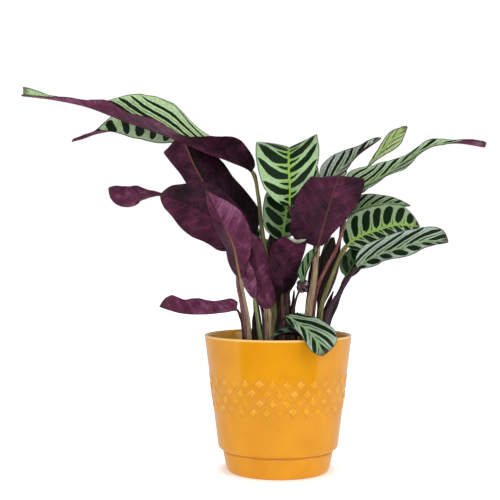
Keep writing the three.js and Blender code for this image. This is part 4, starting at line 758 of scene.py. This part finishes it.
vein_wave = add_node(upper, "Math", {0: read["band"], 1: 44.0}, operation="MULTIPLY")
vein_wave = add_node(upper, "Math", {0: vein_wave}, operation="SINE")
vein_line = add_node(upper, "MapRange", {
    "Value": vein_wave, "From Min": 0.5, "From Max": 1.0, "To Min": 0.0, "To Max": 0.22})
for cover, tone in ((mottle_fade, 0x5A7F46), (vein_line, 0x4A7446)):
    ground = add_node(upper, "Mix", {"Factor": cover, 6: ground, 7: linear(tone)}, data_type="RGBA", out=2)
band_green = add_node(upper, "Mix", {
    "Factor": mottle, 6: linear(0x041207), 7: linear(0x102A0D)}, data_type="RGBA", out=2)
skin = add_node(upper, "Mix", {"Factor": bands, 6: ground, 7: band_green}, data_type="RGBA", out=2)
rib_line = add_node(upper, "MapRange", {"Value": read["rib_mm"], "From Min": 1.0, "From Max": 0.45})
rib_line = add_node(upper, "Math", {0: rib_line, 1: read["rib_shown"]}, operation="MULTIPLY")
rim_line = add_node(upper, "MapRange", {"Value": read["rim_mm"], "From Min": 1.0, "From Max": 0.4})
for cover, tone in ((rib_line, 0x86A63C), (rim_line, 0x2F4A38), (read["dry"], 0x4A3C2E)):
    skin = add_node(upper, "Mix", {"Factor": cover, 6: skin, 7: linear(tone)}, data_type="RGBA", out=2)
upper_bump = add_node(upper, "Bump", {"Height": vein_wave, "Strength": 0.2, "Distance": 0.0003})
finish_material(upper, {
    "Base Color": skin, "Roughness": 0.4, "Specular IOR Level": 0.1, "Normal": upper_bump})

# Blade, underside: velvety satin purple, uneven, with the bands showing through faintly, fine side
# veins, a thin midrib and a thin dark margin. Shallow wrinkles break the light on it.
under = plain_material("prayer_plant_leaf_purple_underside")
for name in ("band", "rib_mm", "rim_mm", "light", "warm", "long_half", "rib_shown", "vein", "dry"):
    read[name] = add_node(under, "Attribute", attribute_name=name, out="Fac")
place = add_node(under, "TexCoord", out="Object")
# The lightness read here is partly the leaf's own purple and partly painted light and shade.
lightness = read["light"]
blotches = {}
for name, scale, detail, reach in (("cloud", 34.0, 2.0, 0.17), ("blotch", 120.0, 4.0, 0.12),
                                   ("grain", 700.0, 2.0, 0.07)):
    blotches[name] = add_node(under, "TexNoise", {
        "Vector": place, "Scale": scale, "Detail": detail, "Roughness": 0.65})
    shift_by = add_node(under, "MapRange", {
        "Value": blotches[name], "From Min": 0.3, "From Max": 0.7, "To Min": -reach, "To Max": reach})
    lightness = add_node(under, "Math", {0: lightness, 1: shift_by}, operation="ADD")
vein_bent = add_node(under, "Math", {0: blotches["blotch"], 1: 1.6, 2: read["vein"]},
                     operation="MULTIPLY_ADD")
vein_tone = add_node(under, "TexNoise", {"W": vein_bent, "Scale": 0.45, "Detail": 3.0},
                     noise_dimensions="1D")
shift_by = add_node(under, "MapRange", {
    "Value": vein_tone, "From Min": 0.3, "From Max": 0.7, "To Min": -0.09, "To Max": 0.07})
lightness = add_node(under, "Math", {0: lightness, 1: shift_by}, operation="ADD")
purple = add_node(under, "ValToRGB", {"Fac": lightness})
set_ramp(purple, [(0.0, 0x12060C), (0.3, 0x3E182B), (0.6, 0x602946), (1.0, 0x96627F)])
bent = add_node(under, "Math", {0: blotches["blotch"], 1: 0.35, 2: read["band"]},
                operation="MULTIPLY_ADD")
part = add_node(under, "Math", {0: bent}, operation="FRACT")
from_middle = add_node(under, "Math", {0: part, 1: 0.5}, operation="SUBTRACT")
from_middle = add_node(under, "Math", {0: from_middle}, operation="ABSOLUTE")
depth = add_node(under, "Math", {0: read["long_half"], 1: from_middle}, operation="SUBTRACT")
band_mask = add_node(under, "MapRange", {
    "Value": depth, "From Min": -0.06, "From Max": 0.1, "To Min": 0.0, "To Max": 0.26})
rib_colour = add_node(under, "Mix", {
    "Factor": read["warm"], 6: linear(0x42202E), 7: linear(0xA8804C)}, data_type="RGBA", out=2)
rib_line = add_node(under, "MapRange", {"Value": read["rib_mm"], "From Min": 0.9, "From Max": 0.35})
rib_line = add_node(under, "Math", {0: rib_line, 1: read["rib_shown"]}, operation="MULTIPLY")
rim_line = add_node(under, "MapRange", {"Value": read["rim_mm"], "From Min": 0.9, "From Max": 0.3})
skin = purple
for cover, tone in ((band_mask, linear(0x1C0812)), (rib_line, rib_colour), (rim_line, linear(0x2A121D)),
                    (read["dry"], linear(0x3C2C28))):
    skin = add_node(under, "Mix", {"Factor": cover, 6: skin, 7: tone}, data_type="RGBA", out=2)
under_bump = add_node(under, "Bump", {"Height": blotches["cloud"], "Strength": 0.7, "Distance": 0.009})
under_bump = add_node(under, "Bump", {
    "Height": blotches["blotch"], "Strength": 0.5, "Distance": 0.002, "Normal": under_bump})
under_bump = add_node(under, "Bump", {
    "Height": vein_tone, "Strength": 0.6, "Distance": 0.0006, "Normal": under_bump})
finish_material(under, {
    "Base Color": skin, "Roughness": 0.5, "Specular IOR Level": 0.1,
    "Normal": under_bump})

for number_of_leaf, leaf in enumerate(LEAVES):
    marks = MARKS.get(leaf["name"], ())
    marks += USUAL_MARKS[len(marks):]
    left_marks, right_marks, inner_hex, outer_hex, rib_shown, purple_tone_and_light_left, purple_tone_and_light_right, warm = marks
    bandless = leaf.get("tip", USUAL_TIP) == 0
    rib_length = leaf_path(leaf)[4][-1]
    rows = max(30, int(rib_length / ROW_SPACING))
    t = np.linspace(0, 1, rows + 1)
    spread = np.linspace(-1, 1, 2 * HALF_COLUMNS + 1)
    v = np.sign(spread) * np.abs(spread) ** 1.2
    points, normal, halves, rib_length = leaf_surface(leaf, t, v)
    columns = len(v)
    on_left = v[None, :] < 0
    share = np.abs(v)[None, :]
    half = np.where(on_left, halves[0][:, None], halves[1][:, None])
    rib_reach = (t * rib_length)[:, None]
    from_rib = half * share
    gap, slant, bend, shift = (np.where(on_left, left_marks[i], right_marks[i]) for i in (1, 2, 3, 4))
    lengthwise = rib_reach - slant * from_rib - bend * from_rib ** 2
    side_veins = rib_reach - 0.6 * from_rib - 0.012 * from_rib ** 2
    relief = np.zeros(from_rib.shape)
    for i in range(rows + 1):
        for j in range(columns):
            seed = 7.3 * number_of_leaf + (3.1 if v[j] < 0 else 0)
            vein = noise.noise(Vector((side_veins[i, j] / VEIN_SPACING, from_rib[i, j] / 30, seed)))
            swell = noise.noise(Vector((side_veins[i, j] / SWELL_SPACING, from_rib[i, j] / 14, seed + 40)))
            flutter = noise.noise(Vector((rib_reach[i, 0] / FLUTTER_LENGTH, 0, seed + 80)))
            relief[i, j] = VEIN_RELIEF * (0.55 * vein + swell) + EDGE_WAVE * flutter * share[0, j] ** 3
    relief = relief * np.clip(from_rib / 4, 0, 1) * np.clip(half / 9, 0, 1)
    relief = relief - RIB_GROOVE * np.exp(-(from_rib / 1.4) ** 2) * np.clip(half / 9, 0, 1)
    points = points + normal[:, None, :] * relief[:, :, None]
    widths = [np.array(PATTERNS[side_marks[0]]) for side_marks in (left_marks, right_marks)]
    band_halves = [np.where(on_left, *(np.interp(share, w[:, 0], w[:, k]) for w in widths)) for k in (1, 2)]
    if bandless:
        banded = np.clip((1 - t)[:, None] / BANDLESS_TIP, 0, 1)
        band_halves = [width * banded - 0.06 * (1 - banded) for width in band_halves]

    bpy.ops.mesh.primitive_grid_add(x_subdivisions=columns - 1, y_subdivisions=rows, size=2)
    blade = bpy.context.object
    blade.name = "blade_" + leaf["name"]
    blade.data.vertices.foreach_set("co", (points * MM).reshape(-1))
    same = np.ones(from_rib.shape)
    values = {
        "band": lengthwise / gap + shift + 20 * number_of_leaf + 40,
        "edge": same * share,
        "rib_mm": from_rib + (4 if rib_shown == 0 else 0),
        "rim_mm": np.minimum(half - from_rib, (1 - t)[:, None] * rib_length + 2 * bandless),
        "long_half": same * band_halves[0],
        "short_half": same * band_halves[1],
        "rib_shown": same * rib_shown,
        # Purple lightness per half: the leaf's own tone with painted light and shade in it.
        "light": np.where(on_left, along(purple_tone_and_light_left, t)[:, None], along(purple_tone_and_light_right, t)[:, None]),
        "warm": same * along(warm, t)[:, None],
        "dry": same * np.clip(1 - (1 - t)[:, None] * rib_length / DRY_TIP, 0, DRYNESS),
        "vein": side_veins + 60 * number_of_leaf + 20 * (1 - on_left),
    }
    put_values(blade.data, values)
    for name, hex_tone in (("inner_tone", inner_hex), ("outer_tone", outer_hex)):
        attribute = blade.data.attributes.new(name, "FLOAT_COLOR", "POINT")
        attribute.data.foreach_set("color", np.tile(np.array(linear(hex_tone), np.float32), from_rib.size))
    midrib = blade.vertex_groups.new(name="midrib")
    rib_height = np.clip(1 - from_rib / 1.2, 0, 1) * (1 - 0.75 * t[:, None])
    for index, weight in enumerate(rib_height.ravel()):
        midrib.add([index], float(BLADE_SHARE + (1 - BLADE_SHARE) * weight), "REPLACE")
    blade.data.update()
    solidify = blade.modifiers.new("thickness", "SOLIDIFY")
    solidify.thickness = MIDRIB_THICKNESS * MM
    solidify.offset = -1
    solidify.vertex_group = "midrib"
    solidify.use_even_offset = False
    solidify.material_offset = 1
    solidify.material_offset_rim = 1
    blade.data.materials.append(upper)
    blade.data.materials.append(under)
    bpy.ops.object.modifier_apply(modifier="thickness")
    bpy.ops.object.shade_smooth_by_angle(angle=math.radians(55))
    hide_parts("leaf_" + leaf["name"])
    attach(blade, "root")

# Stalks. Each is a leaf stalk wrapped at its base in its own sheath, thick and grooved there, thin
# above, with a short swollen joint just below the blade. Young ones are green, others have turned
# beige, pink, brown or purple. Each stands in the soil.
STALK_SIDES = 14
STALK_IN_SOIL = 4
JOINT_LENGTH = 9
JOINT_SWELLING = 0.35
SHEATH_SHARE = 0.6
GROOVE_DEPTH = 0.22
GROOVE_TURN = math.pi * 1.35
STALK_TONES = {
    "olive": (0x2E2A1E, 0x6A6638, 0x8E8650),
    "beige": (0x4A3630, 0x8A735A, 0xAE9878),
    "pink": (0x40262C, 0x7C5056, 0xA87C7C),
    "red": (0x30141A, 0x6A3034, 0x9C6A58),
    "green": (0x343C24, 0x687444, 0x9CA66C),
    "brown": (0x1C1012, 0x3A2224, 0x5E4238),
    "purple": (0x140A10, 0x30182A, 0x4E2A40),
}
STALK_TONE_OF = {
    "high_left": "olive", "front_mauve": "beige", "mauve_strip": "green", "magenta_left": "beige",
    "upright_purple": "beige", "broad_right": "olive", "back_centre": "olive", "back_right": "olive",
    "back_left": "olive", "broad_left": "pink", "long_right": "red", "spear_right": "green",
    "low_right": "purple", "narrow_behind_right": "purple", "dark_behind_right": "purple",
    "centre_face": "brown", "centre_low": "purple", "young_centre": "brown",
}


def tube_faces(rings, sides, first=0):
    """Faces of a closed tube of so many rings and sides, whose points start at a given number."""
    last = first + (rings - 1) * sides
    faces = [tuple(reversed(range(first, first + sides)))]
    for ring in range(first, last, sides):
        for k in range(sides):
            a, b = ring + k, ring + (k + 1) % sides
            faces.append((a, b, b + sides, a + sides))
    faces.append(tuple(range(last, last + sides)))
    return faces


def streaked_material(name, stops, stretch, scale, detail, surface):
    """Material with streaks along a stalk or a strip, laid by its own measures around and along."""
    material = plain_material(name)
    around = add_node(material, "Attribute", attribute_name="around", out="Fac")
    reach = add_node(material, "Attribute", attribute_name="reach", out="Fac")
    spot = add_node(material, "CombineXYZ", {"X": around, "Y": reach})
    spot = add_node(material, "VectorMath", {0: spot, 1: stretch}, operation="MULTIPLY")
    streak = add_node(material, "TexNoise", {"Vector": spot, "Scale": scale, "Detail": detail})
    tone = add_node(material, "ValToRGB", {"Fac": streak})
    set_ramp(tone, stops)
    return finish_material(material, {"Base Color": tone, **surface})


# Living stalk skin: satin, with fine streaks along it that are darker and paler than its own tone.
stalk_materials = {}
for tone_name, tones in STALK_TONES.items():
    stalk_materials[tone_name] = streaked_material(
        "leaf_stalk_" + tone_name, list(zip((0.37, 0.5, 0.63), tones)), (9.0, 0.9, 1.0), 1.6, 4.0,
        {"Roughness": 0.5, "Specular IOR Level": 0.3})

for leaf in LEAVES:
    at, junction, end, places, length = leaf_path(leaf)
    thick, thin = leaf.get("thick", (2.6, 1.4))
    rings = max(20, int(junction / 2.5))
    s = np.linspace(-STALK_IN_SOIL, junction + 0.4, rings + 1)
    centre = at(s)
    start_tangent = unit_rows(at(0.5) - at(0))[0]
    centre[s < 0] += start_tangent * s[s < 0][:, None]
    tangent = unit_rows(at(np.maximum(s, 0) + 0.5) - at(np.maximum(s - 0.5, 0)))
    reference = np.array([1.0, 0, 0])
    first = unit_rows(reference - tangent * (tangent @ reference)[:, None])
    second = np.cross(tangent, first)
    radius = thick + (thin - thick) * np.clip(s / junction, 0, 1) ** 0.8
    swollen = np.exp(-((s - junction + JOINT_LENGTH * 0.6) / (JOINT_LENGTH * 0.5)) ** 2)
    radius = radius * (1 + JOINT_SWELLING * swollen)
    angle = np.arange(STALK_SIDES) * 2 * math.pi / STALK_SIDES
    groove = 1 - GROOVE_DEPTH * np.exp(-((angle - GROOVE_TURN) / 0.45) ** 2)
    sheath = np.clip(1 - s / (SHEATH_SHARE * junction), 0, 1)[:, None]
    ring_radius = radius[:, None] * (1 - (1 - groove[None, :]) * sheath)
    points = (centre[:, None, :]
              + first[:, None, :] * (np.cos(angle) * ring_radius)[:, :, None]
              + second[:, None, :] * (np.sin(angle) * ring_radius)[:, :, None])
    bpy.ops.mesh.primitive_cylinder_add(vertices=STALK_SIDES, radius=1, depth=1, end_fill_type="NGON")
    stalk = bpy.context.object
    stalk.name = "stem_" + leaf["name"]
    stalk.data.clear_geometry()
    stalk.data.from_pydata((points * MM).reshape(-1, 3).tolist(), [], tube_faces(len(s), STALK_SIDES))
    put_values(stalk.data, {
        "around": np.tile(angle / math.pi, len(s)), "reach": np.repeat(s / 30, STALK_SIDES)})
    stalk.data.materials.append(stalk_materials[STALK_TONE_OF.get(leaf["name"], "brown")])
    bpy.ops.object.shade_smooth_by_angle(angle=math.radians(55))
    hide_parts("stalk_" + leaf["name"])
    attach(stalk, "root")

# Old growth. Dead sheaths stand round the foot of the clump, dry, streaky and nearly black, one of
# them tan, with a withered leaf behind them. Each is a thin strip that stands up from the soil.
STRIP_SIDES = 10
STRIP_RINGS = 16
DRY_TONES = ((0x0C0806, 0x2A1E1A, 0x5A4C42), (0x3A2A1E, 0x8A6C4C, 0xB49870))
STRIPS = [
    ((-4, -2, 120), (-3, -3, 158), (-1, -4, 188), (3, 3.4, 3.2, 0.8), 0.7, 0),
    ((1, 1, 120), (3, 0, 160), (5, -1, 194), (3.4, 3.8, 3, 0.7), 0.7, 0),
    ((7, -3, 120), (9, -4, 156), (8, -5, 190), (3, 3.8, 3.4, 0.6), 0.7, 0),
    ((5, -9, 120), (6, -10, 150), (8, -11, 168), (2.2, 2.6, 2.2, 0.5), 0.6, 1),
    ((12, -2, 120), (14, -3, 152), (16, -4, 179), (2.6, 3, 2.4, 0.6), 0.6, 0),
    ((-8, 2, 120), (-7, 2, 146), (-6, 1, 172), (2.6, 2.8, 2.2, 0.6), 0.6, 0),
    ((-2, -10, 120), (-1, -11, 144), (2, -12, 170), (2.2, 2.6, 1.8, 0.5), 0.6, 0),
    ((10, -10, 120), (12, -11, 142), (14, -12, 164), (2.2, 2.4, 2, 0.5), 0.6, 0),
    ((3, 5, 120), (1, 5, 150), (0, 4, 182), (3, 3.4, 3, 0.8), 0.7, 0),
    ((16, -6, 120), (18, -7, 140), (19, -8, 158), (2, 2.2, 1.6, 0.5), 0.6, 0),
    ((6, 9, 120), (3, 10, 180), (-1, 12, 242), (1.4, 1.6, 3, 8, 16, 17, 12, 3), 0.8, 0),
    ((42, 2, 120), (54, 2, 158), (69, 1, 189), (3.6, 4, 3.6, 0.8), 0.8, 0),
    ((36, 6, 120), (45, 6, 150), (56, 5, 178), (3.2, 3.6, 3, 0.7), 0.7, 0),
    ((34, 12, 120), (47, 13, 180), (56, 14, 232), (1.4, 1.6, 3, 7, 11, 8, 2), 0.8, 0),
    ((28, 10, 120), (33, 11, 170), (41, 12, 224), (1.4, 1.8, 3, 4.5, 5, 4, 1), 0.7, 0),
    ((-26, 0, 120), (-24, -1, 140), (-23, -2, 166), (2.2, 2.6, 2.2, 0.6), 0.6, 0),
]
# Dead sheath: dull and papery, with coarse fibres along it from nearly black to pale grey-brown.
dry_skins = []
for tones in DRY_TONES:
    dry_skins.append(streaked_material(
        "dead_leaf_sheath", list(zip((0.38, 0.53, 0.7), tones)), (1.0, 1.0, 1.0), 1.0, 5.0,
        {"Roughness": 0.75, "Specular IOR Level": 0.15}))
bpy.ops.mesh.primitive_cylinder_add(vertices=STRIP_SIDES, radius=1, depth=1)
sheaths = bpy.context.object
sheaths.name = "old_sheaths"
points, polygons, skins, around_of, reach_of = [], [], [], [], []
turns = np.arange(STRIP_SIDES) * 2 * math.pi / STRIP_SIDES
for number, (foot, middle, top, half_widths, half_thick, tone) in enumerate(STRIPS):
    shares = np.linspace(0, 1, STRIP_RINGS)
    first = len(points)
    centre = along([foot, middle, top], shares)
    widths = along(half_widths, shares)
    crease = np.abs(np.cos(turns)) ** 2 * 1.2
    for share, middle_point, wide in zip(shares, centre, widths):
        frayed = wide * (1 + 0.14 * math.sin(17 * share + number))
        for k in range(STRIP_SIDES):
            points.append(((middle_point[0] + math.cos(turns[k]) * frayed) * MM,
                           (middle_point[1] + math.sin(turns[k]) * half_thick + crease[k]) * MM,
                           middle_point[2] * MM))
            around_of.append(math.cos(turns[k]) * frayed * 0.9 + 13 * number)
            reach_of.append(share * 1.6)
    polygons += tube_faces(STRIP_RINGS, STRIP_SIDES, first)
    skins += [tone] * (len(polygons) - len(skins))
sheaths.data.clear_geometry()
sheaths.data.from_pydata(points, [], polygons)
sheaths.data.polygons.foreach_set("material_index", skins)
put_values(sheaths.data, {"around": around_of, "reach": reach_of})
for dry_skin in dry_skins:
    sheaths.data.materials.append(dry_skin)
bpy.ops.object.shade_smooth_by_angle(angle=math.radians(55))
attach(sheaths, "root")

# Withered leaf bud: a young leaf that dried up, crumpled to a dark ball with pale creases. It hangs
# on the stalk of the young leaf in the centre.
BUD_CENTRE = (23.4, -30, 184)
BUD_HALF_SIZES = (7.2, 5.5, 7.6)
bpy.ops.mesh.primitive_ico_sphere_add(subdivisions=4, radius=1, location=(0, 0, 0))
bud = bpy.context.object
bud.name = "withered_bud"
for vertex in bud.data.vertices:
    fold = 0.5 - abs(noise.noise(vertex.co * 1.7 + Vector((4, 0, 9))))
    rough = noise.noise(vertex.co * 4.5)
    spread = 0.72 + 0.5 * fold + 0.08 * rough
    vertex.co = [(c + h * p * spread) * MM for c, h, p in zip(BUD_CENTRE, BUD_HALF_SIZES, vertex.co)]
bpy.ops.object.shade_smooth()
crumpled = plain_material("withered_leaf_dark_purple")
place = add_node(crumpled, "TexCoord", out="Object")
crease = add_node(crumpled, "TexNoise", {"Vector": place, "Scale": 150.0, "Detail": 1.0})
crease = add_node(crumpled, "Math", {0: crease, 1: 0.5}, operation="SUBTRACT")
crease = add_node(crumpled, "Math", {0: crease}, operation="ABSOLUTE")
crease_tone = add_node(crumpled, "ValToRGB", {"Fac": crease})
set_ramp(crease_tone, [(0.004, 0x9A8A94), (0.02, 0x3A1C2C), (0.12, 0x160A10)])
finish_material(crumpled, {"Base Color": crease_tone, "Roughness": 0.5, "Specular IOR Level": 0.3})
bud.data.materials.append(crumpled)
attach(bud, "root")
